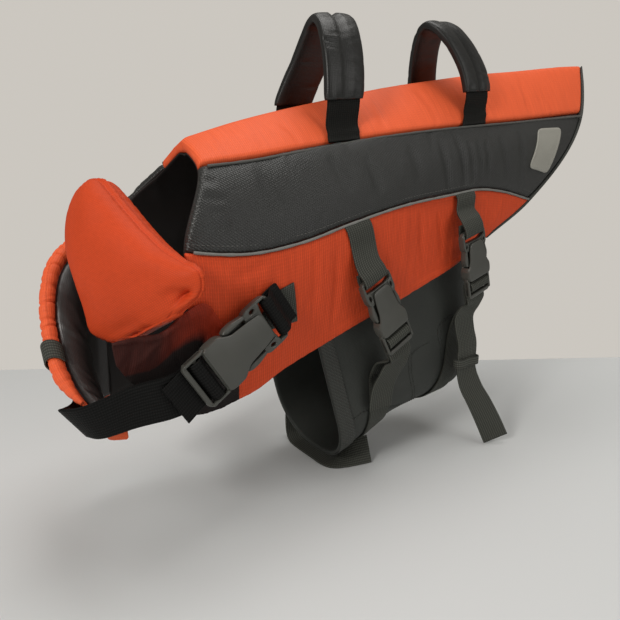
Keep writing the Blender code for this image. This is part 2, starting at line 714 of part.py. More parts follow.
def belly_path(rows, lift=1.8):
    """Path under the belly panel through rows of w and x, with the direction across it."""
    points, across = [], []
    for w, x in rows:
        s = s_at(x, w)
        points.append(belly_point(s, w) + belly_normal(s, w) * lift)
        across.append(unit(belly_point(min(s + 0.05, 1), w) - belly_point(max(s - 0.05, 0), w)))
    return points, across


def free_path(rows, across=(1, 0, 0)):
    return [np.array(row, float) for row in rows], [np.array(across, float)] * len(rows)


def strap(name, pieces, width, slot="web"):
    """Webbing along several stretches, end to end."""
    points = [p for piece in pieces for p in piece[0]]
    across = [a for piece in pieces for a in piece[1]]
    return ribbon(name, points, across, width, slot)


def belly_run(xs):
    """Rows of w and x under the belly, from the right side (w 0.8) to the left, through x at even steps."""
    ws = np.linspace(0.8, BELLY_STRAP_END, 25)
    places = np.interp(ws, np.linspace(BELLY_STRAP_END, 0.8, len(xs)), xs[::-1])
    return list(zip(ws.tolist(), places.tolist()))


def front_straps():
    frame = buckle_frame(BUCKLES["front"])
    top = BUCKLES["front"]["length"]
    strap("front_strap_upper", [shell_path(LEFT, [(-19, 2.06), (-17, 2.14), (-15, 2.24)]),
                                frame_path(frame, ROUND_BAR, top)], BELLY_WEB)
    strap("front_strap_lower", [
        shell_path(RIGHT, [(-17, 2.06), (-15, 2.3), (-12, 2.55), (-8, 2.8), (-5, 2.94)]),
        free_path([(-1, 54.5, 131)]),
        belly_path(belly_run([4, 9, 14, 17, 19, 20, 20, 19, 18, 17, 16])),
        free_path([(15, -54.5, 96), (15.5, -61, 108)]),
        frame_path(frame, [(-7, -6.4), *LOADED, (-8, -3.5)]),
        free_path([(17, -70.5, 109), (15, -66, 99), (13.5, -61, 88), (13, -58.5, 76), (14, -56.5, 64)])], BELLY_WEB)
    strap("belly_strap_end", [free_path([
        (6, 58, 54), (4, 58.5, 34), (2, 57, 14), (0, 52, 3.5), (-3, 43, 0.8), (-5, 26, 0.8), (-5, 12, 0.8),
        (-5, -4, 0.8), (-5, -9.5, 0.8)]),
        ([np.array(p, float) for p in [(-3, -17, 3.8), (4, -21.5, 6.6), (13, -25.5, 9.4), (25, -30.5, 11.6)]],
         [np.array(a, float) for a in [(0.80, 0.5, 0.26), (0.5, 0.72, 0.45), (0.25, 0.70, 0.66), (0.15, 0.5, 0.86)]]),
    ], BELLY_WEB)


def rear_straps():
    frame = buckle_frame(BUCKLES["rear"])
    top = BUCKLES["rear"]["length"]
    strap("rear_strap_upper", [shell_path(LEFT, [(108, 2.075), (107.5, 2.12), (107, 2.17)], 3.0),
                               frame_path(frame, ROUND_BAR, top)], BELLY_WEB)
    loose = [(116.7, -60.5, 141), (113, -57.3, 131), (115, -57, 118), (117, -59.5, 104), (114.5, -62, 93),
             (113.5, -62.5, 85), (119.5, -64, 64), (130, -67.5, 45), (139, -72, 26), (147, -77, 6)]
    turned = [(1, 0, 0)] * 6 + [(0.97, -0.15, 0.1), (0.93, -0.25, 0.2), (0.88, -0.35, 0.3), (0.82, -0.45, 0.36)]
    strap("rear_strap_lower", [
        shell_path(RIGHT, [(110, 2.08), (109, 2.35), (108, 2.65), (107, 2.9)]),
        free_path([(106, 50.5, 165)]),
        belly_path(belly_run([103, 103, 102, 102, 101, 101, 102, 104, 107, 111, 116])),
        free_path([(118.5, -49, 126), (120, -54, 137)]),
        frame_path(frame, [(-7, -6.6), *LOADED, (-6, -3.3)]),
        ([np.array(p, float) for p in loose], [np.array(a, float) for a in turned]),
    ], BELLY_WEB)


KEEPER = (113.9, -62.4, 88.0)


def rear_keeper():
    """Small loop that holds the loose end of the rear strap."""
    ring = [(-14, 3.2), (-14.4, -1.2), (-13.4, -2.3), (0, -2.4), (13.4, -2.3), (14.4, -1.2), (14, 3.2)]
    points = [np.array(KEEPER) + (x, y, 0) for x, y in ring]
    ribbon("rear_keeper", points, [np.array([0, 0, 1.0])] * len(points), 8, "web", 1.2)


# Neck strap from the chest's corner to the buckle: its upper and its lower edge.
NECK_STRAP = [
    ((-240, -55, 128), (-225, -49, 103)), ((-233, -62, 130), (-221, -55, 103)), ((-221, -67, 134.5), (-214, -61, 105.5)),
    ((-203, -71, 140), (-202, -68, 110)), ((-187, -76, 143), (-182, -75, 113)),
]


def neck_strap():
    frame = buckle_frame(BUCKLES["neck"])
    points, across = [], []
    for s in np.linspace(0.56, 0.74, 7).tolist():
        above = chest_point(s, chest_t(s, 2 * RIM_RADIUS + 7))
        below = chest_point(s, chest_t(s, 2 * RIM_RADIUS + 7 + NECK_WEB))
        points.append((above + below) / 2 + chest_out(s, 0.5) * 4.1)
        across.append(below - above)
    upper, lower = curve([row[0] + row[1] for row in NECK_STRAP], np.linspace(0, 1, 9)).reshape(-1, 2, 3).swapaxes(0, 1)
    points += list((upper + lower) / 2)
    across += list(lower - upper)
    strap("neck_strap", [(points, [unit(a) for a in across]), frame_path(frame, [*LOADED, (-8, -2.6), (-16, -1.2)])],
          NECK_WEB, "neck_web")


# Neck patch: corners on the left side panel, x and height.
NECK_PATCH = [(-103, 180), (-80, 188), (-75, 158), (-108, 155)]


def neck_patch():
    """Square of webbing sewn flat on the left side panel, behind the neck loop."""
    a, b, c, d = (np.array(corner, float) for corner in NECK_PATCH)
    spots = [[(a + (b - a) * i) * (1 - j) + (d + (c - d) * i) * j for j in np.linspace(0, 1, 4)]
             for i in np.linspace(0, 1, 5)]
    outer = [[left_lift(*spot, GAP + 1.4) for spot in row] for row in spots]
    inner = [[left_lift(*spot, GAP) for spot in row] for row in spots]
    return wall("neck_patch", outer, inner, "neck_web")


def neck_loop():
    """Webbing from the neck patch round the bar of the buckle's male half and back."""
    frame = buckle_frame(BUCKLES["neck"])
    top = BUCKLES["neck"]["length"]

    def above_patch(place, lift):
        spot = in_frame(frame, 0, place, 0)
        return place - top, float((left_lift(spot[0], spot[2], 0) - spot).dot(frame[3])) + lift

    rows = [above_patch(top + 14, 3.8), above_patch(top + 9, 3.9), above_patch(top + 4.5, 4.6), (1.5, -5.4),
            *ROUND_BAR[8:1:-1], (0.5, 3.2), (3.5, 0.4), above_patch(top + 8, 6.6), above_patch(top + 11, 5.7),
            above_patch(top + 14, 5.5)]
    points, across = frame_path(frame, rows, top)
    return ribbon("neck_loop", points, across, NECK_WEB, "neck_web")


def strap_keeper():
    """Short webbing over the chest rim, holding the neck strap's start."""
    s, steps = 0.63, 11
    rim, away = rim_middle(s), unit(chest_point(s, 0) - chest_point(s, 0.1))
    out = chest_out(s)
    reach = RIM_RADIUS + RIM_GATHER_DEPTH + GAP + 1.3
    along = unit(chest_point(s + 0.02, 0) - chest_point(s - 0.02, 0))
    turns = np.radians(np.linspace(118, -108, steps))
    points = [rim + reach * (math.cos(a) * away + math.sin(a) * out) for a in turns]
    ribbon("strap_keeper", points, [along] * steps, 14, "web", 1.2)


# ---------------------------------------------------------------- handles

def handle_path(handle):
    """The webbing's middle line, from the left foot over the top to the right foot."""
    left, right = ([on_shell(side, u_at(side, x, 0.9), v, 2.6) for v in (0.86, 0.78)]
                   for side, x in zip((LEFT, RIGHT), handle["feet"]))
    return curve([*left, *handle["loop"], *right[::-1]], np.linspace(0, 1, HANDLE_CELLS + 1))


def handles():
    for place_name, handle in HANDLES.items():
        path = handle_path(handle)
        rises = np.sin(np.linspace(0, math.pi, len(path)))
        side, normal = frames(path, [(1, handle["turn"] * k - 0.05 * (1 - k) * np.sign(p[1]), 0.08)
                                     for p, k in zip(path, rises)])
        ribbon(place_name + "_handle_web", path, side, HANDLE_WEB, "web")
        ends = (SLEEVE_CELLS, HANDLE_CELLS - SLEEVE_CELLS)
        outer, inner = [], []
        for k in range(ends[0], ends[1] + 1):
            mouth = 0.74 if k in ends else 1.0
            outer.append([path[k] + side[k] * x + normal[k] * z * mouth for x, z in SLEEVE_SECTION])
            inner.append([path[k] + side[k] * max(min(x, 16.6), -16.6) + normal[k] * math.copysign(1.7, z)
                          for x, z in SLEEVE_SECTION])
        sleeve(place_name + "_handle_sleeve", outer, inner)


# Sleeve's section: across, thickness; a groove runs along its middle seam.
SLEEVE_SECTION = [(0, 3.3), (7.5, 4.6), (15.5, 3.9), (18.5, 0.7), (18.5, -0.7), (15.5, -3.9), (0, -4.6), (-15.5, -3.9),
                  (-18.5, -0.7), (-18.5, 0.7), (-15.5, 3.9), (-7.5, 4.6)]


def sleeve(name, outer, inner):
    """Padded tube with an open bore, through pairs of rings."""
    n, rows = len(outer[0]), len(outer)
    verts = [p for ring in outer for p in ring] + [p for ring in inner for p in ring]
    back = rows * n
    faces = []
    for i in range(rows - 1):
        for j in range(n):
            k = (j + 1) % n
            a, b, c, d = i * n + j, i * n + k, (i + 1) * n + k, (i + 1) * n + j
            if outer[0][k][0] > outer[0][j][0]:
                faces += [(a, b, c), (a, c, d), (back + c, back + b, back + a), (back + d, back + c, back + a)]
            else:
                faces += [(a, b, d), (b, c, d), (back + d, back + b, back + a), (back + d, back + c, back + b)]
    for row, turn in ((0, 1), (rows - 1, -1)):
        for j in range(n):
            k = (j + 1) % n
            faces.append((row * n + k, row * n + j, back + row * n + j, back + row * n + k)[::turn])
    return place(name, verts, faces, "twill")


# ---------------------------------------------------------------- assembly

for old in list(bpy.data.objects):
    bpy.data.objects.remove(old, do_unlink=True)
part = bpy.data.collections.new("dog_life_jacket")
cutters = bpy.data.collections.new("cutters")
for collection in (part, cutters):
    bpy.context.scene.collection.children.link(collection)

shell_panel("top_panel", over_spine(), "orange")
lining()
rear_binding()
for side, suffix in ((LEFT, "left"), (RIGHT, "right")):
    shell_panel("side_band_" + suffix, columns(1, 2, BAND_CELLS, side), "twill")
    shell_panel("side_panel_" + suffix, columns(2, 3, SIDE_CELLS, side), "orange_side")
    piping("piping_top_" + suffix, side, 1)
    piping("piping_low_" + suffix, side, 2)
    reflective_patch(side, suffix)
chest_panel()
chest_lining()
chest_rim()
chin_float()
float_flap()
belly_panel()
belly_binding()
front_straps()
rear_straps()
rear_keeper()
neck_strap()
neck_patch()
neck_loop()
strap_keeper()
for key, buckle in BUCKLES.items():
    female_half(key + "_buckle_female", buckle, buckle_frame(buckle))
    male_half(key + "_buckle_male", buckle, buckle_frame(buckle))
handles()
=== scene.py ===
"""Looks of the dog life jacket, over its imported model.

Lengths in the tables are millimetres; MM turns them into metres.
-X is the neck, +X the tail, -Y the dog's left, +Z up, and the jacket stands on Z = 0.
"""

import itertools  # noqa: E402
import math  # noqa: E402

import bmesh  # noqa: E402
import bpy  # noqa: E402
import numpy as np  # noqa: E402
from mathutils import Matrix  # noqa: E402


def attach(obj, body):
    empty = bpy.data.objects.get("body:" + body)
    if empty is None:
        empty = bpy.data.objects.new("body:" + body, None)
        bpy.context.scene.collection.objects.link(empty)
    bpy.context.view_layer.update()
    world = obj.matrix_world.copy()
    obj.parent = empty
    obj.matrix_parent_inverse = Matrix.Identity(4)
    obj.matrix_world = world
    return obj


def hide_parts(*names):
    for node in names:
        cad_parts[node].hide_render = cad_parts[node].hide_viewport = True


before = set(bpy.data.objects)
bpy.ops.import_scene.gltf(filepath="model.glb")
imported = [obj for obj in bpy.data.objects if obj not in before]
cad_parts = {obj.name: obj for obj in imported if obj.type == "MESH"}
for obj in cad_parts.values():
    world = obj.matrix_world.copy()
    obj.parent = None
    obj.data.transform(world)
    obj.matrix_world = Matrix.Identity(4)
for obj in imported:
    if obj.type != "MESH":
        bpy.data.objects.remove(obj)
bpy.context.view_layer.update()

MM = 0.001
GAP = 0.3  # clearance between two pieces
LEFT, RIGHT = -1, 1

# ---------------------------------------------------------------- camera, light, floor

CAMERA_PLACE = (-0.3133, -0.4185, 0.2812)
CAMERA_TURN, CAMERA_PITCH = -35.0, 15.0  # degrees: round Z from looking along +Y, and downwards
LENS, SENSOR = 35.42, 36


def pose(across, up, back, place):
    """Matrix with those axes and that place."""
    columns = (across, up, back, place)
    return Matrix([[float(column[k]) for column in columns] for k in range(3)] + [[0, 0, 0, 1]])


def linked(name, data):
    """Object of that data, in the scene."""
    made = bpy.data.objects.new(name, data)
    bpy.context.scene.collection.objects.link(made)
    return made


def camera():
    """The photo's camera, solved from its perspective."""
    turn, pitch = math.radians(CAMERA_TURN), math.radians(CAMERA_PITCH)
    right = np.array([math.cos(turn), math.sin(turn), 0])
    ahead = np.array([-math.sin(turn) * math.cos(pitch), math.cos(turn) * math.cos(pitch), -math.sin(pitch)])
    up = np.cross(right, ahead)
    data = bpy.data.cameras.new("camera")
    data.lens, data.sensor_width, data.clip_start, data.clip_end = LENS, SENSOR, 0.02, 50
    made = linked("camera", data)
    made.matrix_world = pose(right, up, -ahead, CAMERA_PLACE)
    bpy.context.scene.camera = made


# Lights: name, place, what it looks at, size, watts, colour.
LIGHTS = [
    ("key", (-1.40, -0.50, 0.95), (-0.1, -0.05, 0.2), 0.35, 12.0, (1.0, 0.97, 0.93)),
    ("ceiling", (0.25, 0.05, 1.6), (0.1, 0.0, 0.2), 1.0, 11.5, (1.0, 0.98, 0.95)),
    ("front", (0.55, -1.4, 0.75), (0.05, 0.0, 0.2), 0.9, 5.0, (1.0, 0.98, 0.96)),
]
WALL = (0.60, 0.57, 0.525)  # the plain wall behind, as the camera sees it
WALL_LIGHT = 0.40  # how much light it gives
FLOOR, FLOOR_ROUGH = (0.69, 0.71, 0.715), 0.6
TABLE_EDGE = ((-0.215, 0.425), (0.495, -0.011))  # two points of the table's far edge
TABLE_REACH = 4.0  # how far the table goes on past them, in metres


def surroundings():
    """Lights, the plain wall behind and the table that the jacket stands on."""
    for name, place, target, size, watts, colour in LIGHTS:
        data = bpy.data.lights.new(name, "AREA")
        data.energy, data.size, data.color = watts, size, colour
        back = unit(np.array(place) - np.array(target))
        side = unit(np.cross((0, 0, 1), back))
        linked(name, data).matrix_world = pose(side, np.cross(back, side), back, place)
    world = bpy.data.worlds.new("studio")
    world.use_nodes = True
    shade = world.node_tree.nodes["Background"]
    shade.inputs["Color"].default_value = (*WALL, 1)
    seen = world.node_tree.nodes.new("ShaderNodeLightPath").outputs["Is Camera Ray"]
    strength = world.node_tree.nodes.new("ShaderNodeMapRange")
    strength.inputs["To Min"].default_value, strength.inputs["To Max"].default_value = WALL_LIGHT, 1.0
    world.node_tree.links.new(seen, strength.inputs["Value"])
    world.node_tree.links.new(strength.outputs[0], shade.inputs["Strength"])
    bpy.context.scene.world = world
    bpy.context.scene.view_settings.view_transform = "Standard"
    first, second = (np.array((*point, 0.0)) for point in TABLE_EDGE)
    run = unit(second - first)
    near = np.array((run[1], -run[0], 0.0))
    far_left, far_right = first - run * TABLE_REACH, second + run * TABLE_REACH
    corners = [far_left, far_left + near * TABLE_REACH, far_right + near * TABLE_REACH, far_right]
    mesh = bpy.data.meshes.new("floor")
    mesh.from_pydata([tuple(map(float, corner)) for corner in corners], [], [(0, 1, 2, 3)])
    paint = Nodes("floor")
    paint.set(Base_Color=(*FLOOR, 1), Roughness=FLOOR_ROUGH)
    mesh.materials.append(paint.material)
    linked("floor", mesh)


# ---------------------------------------------------------------- materials

WAVE_PERIOD = 2 * math.pi / 20  # period of a wave texture at scale 1


class Nodes:
    """Short hand for building a material's nodes."""

    def __init__(self, name):
        self.material = bpy.data.materials.new(name)
        self.material.use_nodes = True
        self.tree = self.material.node_tree
        self.shader = self.tree.nodes["Principled BSDF"]

    def add(self, kind, inputs=None, **settings):
        node = self.tree.nodes.new(kind)
        for key, value in settings.items():
            setattr(node, key, value)
        for key, value in (inputs or {}).items():
            if isinstance(value, bpy.types.NodeSocket):
                self.tree.links.new(value, node.inputs[key])
            else:
                node.inputs[key].default_value = value
        return node

    def math(self, operation, a, b=0.0):
        return self.add("ShaderNodeMath", {0: a, 1: b}, operation=operation).outputs[0]

    def product(self, a, b):
        return self.math("MULTIPLY", a, b)

    def mix(self, factor, a, b):
        """The first colour where the factor is 0, the second where it is 1."""
        return self.add("ShaderNodeMix", {0: factor, 6: (*a, 1) if isinstance(a, tuple) else a, 7: (*b, 1)},
                        data_type="RGBA").outputs[2]

    def where(self, kind):
        return self.add("ShaderNodeTexCoord").outputs[kind]

    def noise(self, place, scale, detail, rough=0.5):
        return self.add("ShaderNodeTexNoise", {"Vector": place, "Scale": scale, "Detail": detail,
                                               "Roughness": rough}).outputs["Fac"]

    def ramp(self, value, start, end, first=0.0, last=1.0):
        """Runs from the first to the last number while the value runs from start to end."""
        return self.add("ShaderNodeMapRange", {"Value": value, "From Min": start, "From Max": end,
                                               "To Min": first, "To Max": last}).outputs[0]

    def wave(self, coordinate, pitch, turn):
        """Bands of that pitch in millimetres, from 0 to 1, turned by that many degrees on the cloth."""
        turned = self.add("ShaderNodeMapping", {"Vector": coordinate, "Rotation": (0, 0, math.radians(turn))})
        scale = WAVE_PERIOD / (pitch * MM)
        return self.add("ShaderNodeTexWave", {"Vector": turned.outputs[0], "Scale": scale},
                        wave_type="BANDS", bands_direction="X", wave_profile="SIN").outputs["Fac"]

    def finish(self, colour, height, strength, distance, rough, shine):
        """Paint with that colour, bumps of that height, roughness and shine."""
        bump = self.add("ShaderNodeBump", {"Height": height, "Strength": strength, "Distance": distance * MM})
        self.tree.links.new(bump.outputs[0], self.shader.inputs["Normal"])
        self.tree.links.new(colour, self.shader.inputs["Base Color"])
        self.set(Roughness=rough, Specular_IOR_Level=shine)
        return self.material

    def set(self, **values):
        for key, value in values.items():
            self.shader.inputs[key.replace("_", " ")].default_value = value


# Cloths: colour, roughness, shine, weave, pitch of the weave, depth of its bump, how far the colour varies.
CLOTHS = {
    "orange": ((0.84, 0.122, 0.040), 0.55, 0.20, "ripstop", 1.5, 0.12, 0.07),
    "orange_float": ((0.60, 0.064, 0.016), 0.58, 0.16, "fine", 1.3, 0.08, 0.12),
    # painted shade: a darker copy of the orange for the side panels, for the shade of their steep faces, lit
    # less than the top
    "orange_side": ((0.62, 0.069, 0.019), 0.60, 0.18, "ripstop", 1.7, 0.18, 0.12),
    # painted shade: the flap's cloth is a darker copy of the orange, for the shade under the float
    "orange_flap_shaded": ((0.36, 0.030, 0.008), 0.60, 0.18, "ripstop", 1.5, 0.16, 0.20),
    "twill": ((0.022, 0.023, 0.022), 0.38, 0.44, "twill", 1.7, 0.24, 0.18),
    "sleeve": ((0.0105, 0.011, 0.0102), 0.38, 0.42, "fine", 1.2, 0.10, 0.15),
    "lining": ((0.016, 0.013, 0.012), 0.52, 0.24, "plain", 1.1, 0.08, 0.12),
    "chest_lining": ((0.030, 0.027, 0.026), 0.36, 0.48, "plain", 1.1, 0.08, 0.12),
    "charcoal": ((0.040, 0.043, 0.039), 0.60, 0.20, "plain", 1.3, 0.14, 0.16),
    "binding": ((0.042, 0.044, 0.040), 0.58, 0.20, "twill", 2.4, 0.36, 0.15),
    "web": ((0.024, 0.025, 0.0215), 0.60, 0.12, "web", 1.5, 0.36, 0.15),
    # painted shade: a darker copy of the webbing for the handles, for the shade they lie in
    "handle_web": ((0.0045, 0.0045, 0.0040), 0.60, 0.10, "web", 1.5, 0.34, 0.15),
    "neck_web": ((0.0030, 0.0030, 0.0029), 0.60, 0.10, "web", 1.5, 0.36, 0.15),
    "piping": ((0.185, 0.187, 0.175), 0.55, 0.25, "plain", 0.9, 0.06, 0.10),
    # painted shade: a darker copy of the piping for the top seam, for the shade of the trough it lies in
    "piping_top": ((0.085, 0.086, 0.080), 0.55, 0.20, "plain", 0.9, 0.06, 0.10),
    "thread": ((0.12, 0.12, 0.113), 0.60, 0.20, "plain", 0.6, 0.02, 0.10),
    "reflective": ((0.30, 0.295, 0.26), 0.35, 0.40, "plain", 0.8, 0.05, 0.06),
}
# Weaves: how often streaks of thread come along and down the cloth, and their strength; then how much
# lighter than the cloth the painted highlight on its raised threads is, and how much of that shows.
WEAVES = {
    "ripstop": (560, 22, 0.42, 1.4, 0.6), "twill": (300, 300, 0.12, 1.55, 0.7),
    "plain": (400, 400, 0.12, 1.4, 0.6), "fine": (300, 300, 0.25, 1.4, 0.6),
    "web": (700, 700, 0.30, 5.0, 0.9),
}
WEB_RIB = 2.1  # pitch of the ribs along webbing
# The float flap's painted shade, in metres: it darkens to a painted near-black shade between the first two
# distances from its upper edge, and its front end's painted shade fades out between the other two along it.
FLAP_SHADE_DROP, FLAP_FRONT_SHADE = (0.012, 0.026), (0.030, 0.075)
FLAP_SHADE_COLOUR = (0.010, 0.0065, 0.006)


def cloth(name):
    """Cloth with its weave, streaks of thread, small colour changes and a painted highlight on its raised
    threads, laid out by the UV map in metres.
    """
    made = bpy.data.materials.get(name + "_cloth")
    if made:
        return made
    colour, rough, shine, weave, pitch, depth, vary = CLOTHS[name]
    n = Nodes(name + "_cloth")
    uv = n.where("UV")
    patches = n.noise(n.where("Object"), scale=28.0, detail=4.0, rough=0.6)
    along, down, strength, highlight_gain, reach = WEAVES[weave]
    stretched = n.add("ShaderNodeMapping", {"Vector": uv, "Scale": (along, down, 1)}).outputs[0]
    streaks = n.noise(stretched, scale=1.0, detail=2.5, rough=0.65)
    if weave == "ripstop":
        lines = n.math("POWER", n.wave(uv, pitch, 0), 2.0)
        cross = n.math("POWER", n.wave(uv, pitch * 1.7, 90), 3.0)
        height = n.math("ADD", n.product(lines, n.product(streaks, 1.8)), n.product(cross, 0.3))
    elif weave == "twill":
        height = n.product(n.wave(uv, pitch, 45), n.math("ADD", n.wave(uv, pitch, 0), 0.4))
    elif weave == "web":
        picks = n.math("ADD", n.product(n.wave(uv, pitch, 90), 0.6), 0.4)
        ribs = n.math("ADD", n.product(n.wave(uv, WEB_RIB, 0), 0.8), 0.2)
        height = n.product(ribs, picks)
    else:
        height = n.product(n.wave(uv, pitch, 0), n.wave(uv, pitch, 90))
    darker, lighter, raised, shaded = (tuple(min(1.0, c * share) for c in colour)
                                       for share in (1 - vary * 1.5, 1 + vary, highlight_gain, 0.45))
    base = n.mix(patches, darker, lighter)
    # painted highlight: the raised threads are drawn lighter than the cloth
    lit = n.mix(n.product(height, reach), base, raised)
    shade = n.product(n.math("POWER", n.math("SUBTRACT", 1.0, streaks), 2.0), strength * 11 * vary)
    woven = n.mix(shade, lit, shaded)
    if name == "orange_flap_shaded":  # painted shade: below its hem and at its front end the flap is darkened to near black, for the shade under the float
        spot = n.add("ShaderNodeSeparateXYZ", {0: uv})
        low = n.ramp(spot.outputs["Y"], *FLAP_SHADE_DROP)
        front = n.ramp(spot.outputs["X"], *FLAP_FRONT_SHADE, first=0.9, last=0.0)
        woven = n.mix(n.math("MAXIMUM", low, front), woven, FLAP_SHADE_COLOUR)
    return n.finish(woven, height, strength=0.8, distance=depth, rough=rough, shine=shine)


PLASTIC_DARK, PLASTIC_LIGHT = (0.050, 0.051, 0.044), (0.064, 0.065, 0.057)


def plastic():
    """Moulded plastic with a fine grain."""
    made = bpy.data.materials.get("buckle_plastic")
    if made:
        return made
    n = Nodes("buckle_plastic")
    place = n.where("Object")
    colour = n.mix(n.noise(place, scale=60.0, detail=3.0), PLASTIC_DARK, PLASTIC_LIGHT)
    grain = n.noise(place, scale=2600.0, detail=2.0)
    return n.finish(colour, grain, strength=0.25, distance=0.04, rough=0.38, shine=0.45)


# ---------------------------------------------------------------- forms, as the solids have them

# Seams along one side of the shell, front to rear: x, half width, height.
SPINE = [
    (-132, 0, 286), (-75, 0, 301), (0, 0, 317), (76, 0, 331), (152, 0, 343), (240, 0, 354), (344, 0, 366),
]
TOP_SEAM = [(-134, 33, 271), (-96, 35, 275), (-54, 36, 281), (2, 36, 288), (56, 35, 294), (119, 33, 300),
            (207, 29, 307), (316, 24, 317)]
BAND_SEAM = [(-157, 58, 216), (-138, 60, 213), (-113, 61, 211), (-72, 62, 215), (-27, 61, 225), (27, 58, 235),
             (89, 53, 241), (131, 50, 244), (163, 47, 241), (213, 42, 231)]
LOW_EDGE = [(-163, 58, 106), (-136, 58, 106), (-112, 57, 110), (-87, 56, 120), (-53, 55, 131), (-28, 55, 139),
            (34, 54, 157), (66, 52, 166), (104, 50, 178), (151, 45, 201)]
SPINE_FOLD = 0.55  # 0 folds the top along the spine, 1 rounds it
FRONT_SHIFT = {RIGHT: (-14, 7, 6), LEFT: (0, 0, 0)}  # how the front lower corner of each side is drawn out
HEM_SHIFT = {RIGHT: (-16, 7, -27), LEFT: (13, 0, 0)}  # the same for the low edge
SHIFT_REACH = 0.35  # u at which these shifts have faded out
FOAM, CLOTH, LINING, LINING_GAP = 6.5, 2.4, 1.0, 0.4
AT_SPINE = 0.25  # v up to which the wall is thicker, because it folds at the spine
PUFF = (1.6, 2.6, 1.0)  # how far the filling swells the top, the band and the side panel

# Chest panel from its seam with the right side round to its free left end: rim, collar's inner end, low edge.
CHEST_ROWS = [
    ((-172, 65, 221), (-176, 65, 180), (-181, 64, 79)),
    ((-190, 61, 218), (-188, 62, 175), (-192, 60, 78)),
    ((-209, 49, 211), (-200, 50, 172), (-202, 50, 79)),
    ((-222, 37, 200), (-206, 38, 165), (-205, 37, 83)),
    ((-230, 25, 184), (-209, 27, 160), (-204, 20, 90)),
    ((-235, 8, 158), (-212, 8, 136), (-203, 2, 95)),
    ((-234, -22, 132), (-215, -20, 113), (-207, -22, 94)),
    ((-225, -46, 123), (-217, -42, 110), (-211, -42, 94)),
    ((-205, -56, 119), (-204, -54, 110), (-203, -52, 96)),
]
RIM_RADIUS, RIM_END, RIM_SIDES = 5.0, 0.85, 28  # its tube of cloth ends at that s
PAD = 6.0  # how thick the lining's roll is
COLLAR_END = 0.45  # share of the way down at which the collar bends over

# Chin float, sections from its upper to its lower end: place along it, low and high edge, thickness, shift.
FLOAT_ORIGIN = (-194, -15, 150)
FLOAT_ALONG = (0.08, -0.51, -0.857)
FLOAT_UP = (0.401, -0.856, 0.520)
FLOAT_ROWS = [
    (-108, 30, 37, 10, 0), (-102, 20, 43, 26, 0), (-90, 8, 49, 36, 1), (-68, -3, 60, 42, 2),
    (-44, -5, 75, 41, 4), (-24, -7, 91, 33, 6), (-12, -8, 102, 24, 7), (-3, 2, 99, 18, 6),
    (5, 24, 74, 10, 5),
]

# Float flap, outline on the left side: x, height.
FLAP_TOP = [(-211, 167), (-196, 168), (-180, 168), (-163, 179), (-150, 183), (-138, 168), (-124, 144)]
FLAP_LOW = [(-209, 152), (-198, 136), (-185, 127), (-172, 114), (-160, 105), (-144, 104), (-124, 108)]
FLAP_DEEP = 40  # about how far it reaches down

# Belly panel from its front: x at the bottom, x at the sides' top, half width, height of the bottom and top.
# Its last row lies 3 to 4 mm further to the rear than in the solid, behind the rear strap.
BELLY_ROWS = [
    (-14, -50, 49, 12, 150), (4, -34, 50, 19, 153), (24, -8, 51, 29, 157), (44, 24, 50, 36, 164),
    (72, 62, 48, 40, 174), (131, 130, 43, 45, 196),
]
BELLY_TOP_WIDTH = 0.94
ROUND_PART, ROUND_HEIGHT = 0.55, 42  # share of w and height over which its bottom is round

BELLY_WEB, NECK_WEB, HANDLE_WEB = 25, 30, 32
WEB_THICK = 1.6

# Handles: x of the left and the right foot, how far the top is turned about Z, the loop above the top panel.
HANDLES = {
    "front": dict(feet=(-13, -16), turn=0.0, loop=[
        (-12, -33, 313), (-11, -32, 331), (-9.5, -28, 348), (-8, -22, 362), (-5.5, -13.5, 372.5),
        (-3.5, -5, 377), (-2, 3.5, 375), (-2.5, 11, 366), (-5, 20, 350), (-10, 28, 332), (-15, 33, 313)]),
    "rear": dict(feet=(139, 136), turn=0.17, loop=[
        (139, -32.5, 325), (137, -30, 341), (131, -24.5, 358), (123, -18, 372), (118, -10, 381),
        (116, -2, 384), (116, 5, 381), (118, 12, 372), (123, 20, 358), (130, 28, 341), (135, 32.5, 326)]),
}
SLEEVE_SHARE = (4 / 26, 22 / 26)  # stretch of the loop that the sleeve covers


def unit(vectors):
    """The vectors at length 1."""
    vectors = np.asarray(vectors, float)
    return vectors / np.maximum(np.linalg.norm(vectors, axis=-1, keepdims=True), 1e-9)


def bell(distance, width):
    """1 where the distance is 0, falling off smoothly over about that width."""
    return np.exp(-((distance / width) ** 2))


def squared(values, power):
    """The values to that power with their signs kept: it squares up a circle when it is below 1."""
    return np.sign(values) * np.abs(values) ** power


def circle(sides):
    """Angles all round, in radians."""
    return np.linspace(0, 2 * math.pi, sides, endpoint=False)


def grid(a, b):
    """Two arrays of the places on a grid."""
    return np.meshgrid(a, b, indexing="ij")


def cubic(s, span, first, last, slope_first, slope_last):
    """Point at the share s of the smooth span between two points, with those slopes at them."""
    return ((2 * s**3 - 3 * s**2 + 1) * first + (s**3 - 2 * s**2 + s) * span * slope_first
            + (3 * s**2 - 2 * s**3) * last + (s**3 - s**2) * span * slope_last)


def hermite(rows, knots, t):
    """Points at t of the smooth curve that passes through the rows at the knots."""
    rows, knots = np.asarray(rows, float), np.asarray(knots, float)
    t = np.atleast_1d(np.asarray(t, float))
    slopes = np.gradient(rows, knots, axis=0)
    i = np.clip(np.searchsorted(knots, t, side="right") - 1, 0, len(knots) - 2)
    span = (knots[i + 1] - knots[i])[:, None]
    return cubic((t - knots[i])[:, None] / span, span, rows[i], rows[i + 1], slopes[i], slopes[i + 1])


def lengths(points):
    """Running length along rows of points."""
    return np.concatenate([[0.0], np.cumsum(np.linalg.norm(np.diff(points, axis=0), axis=1))])


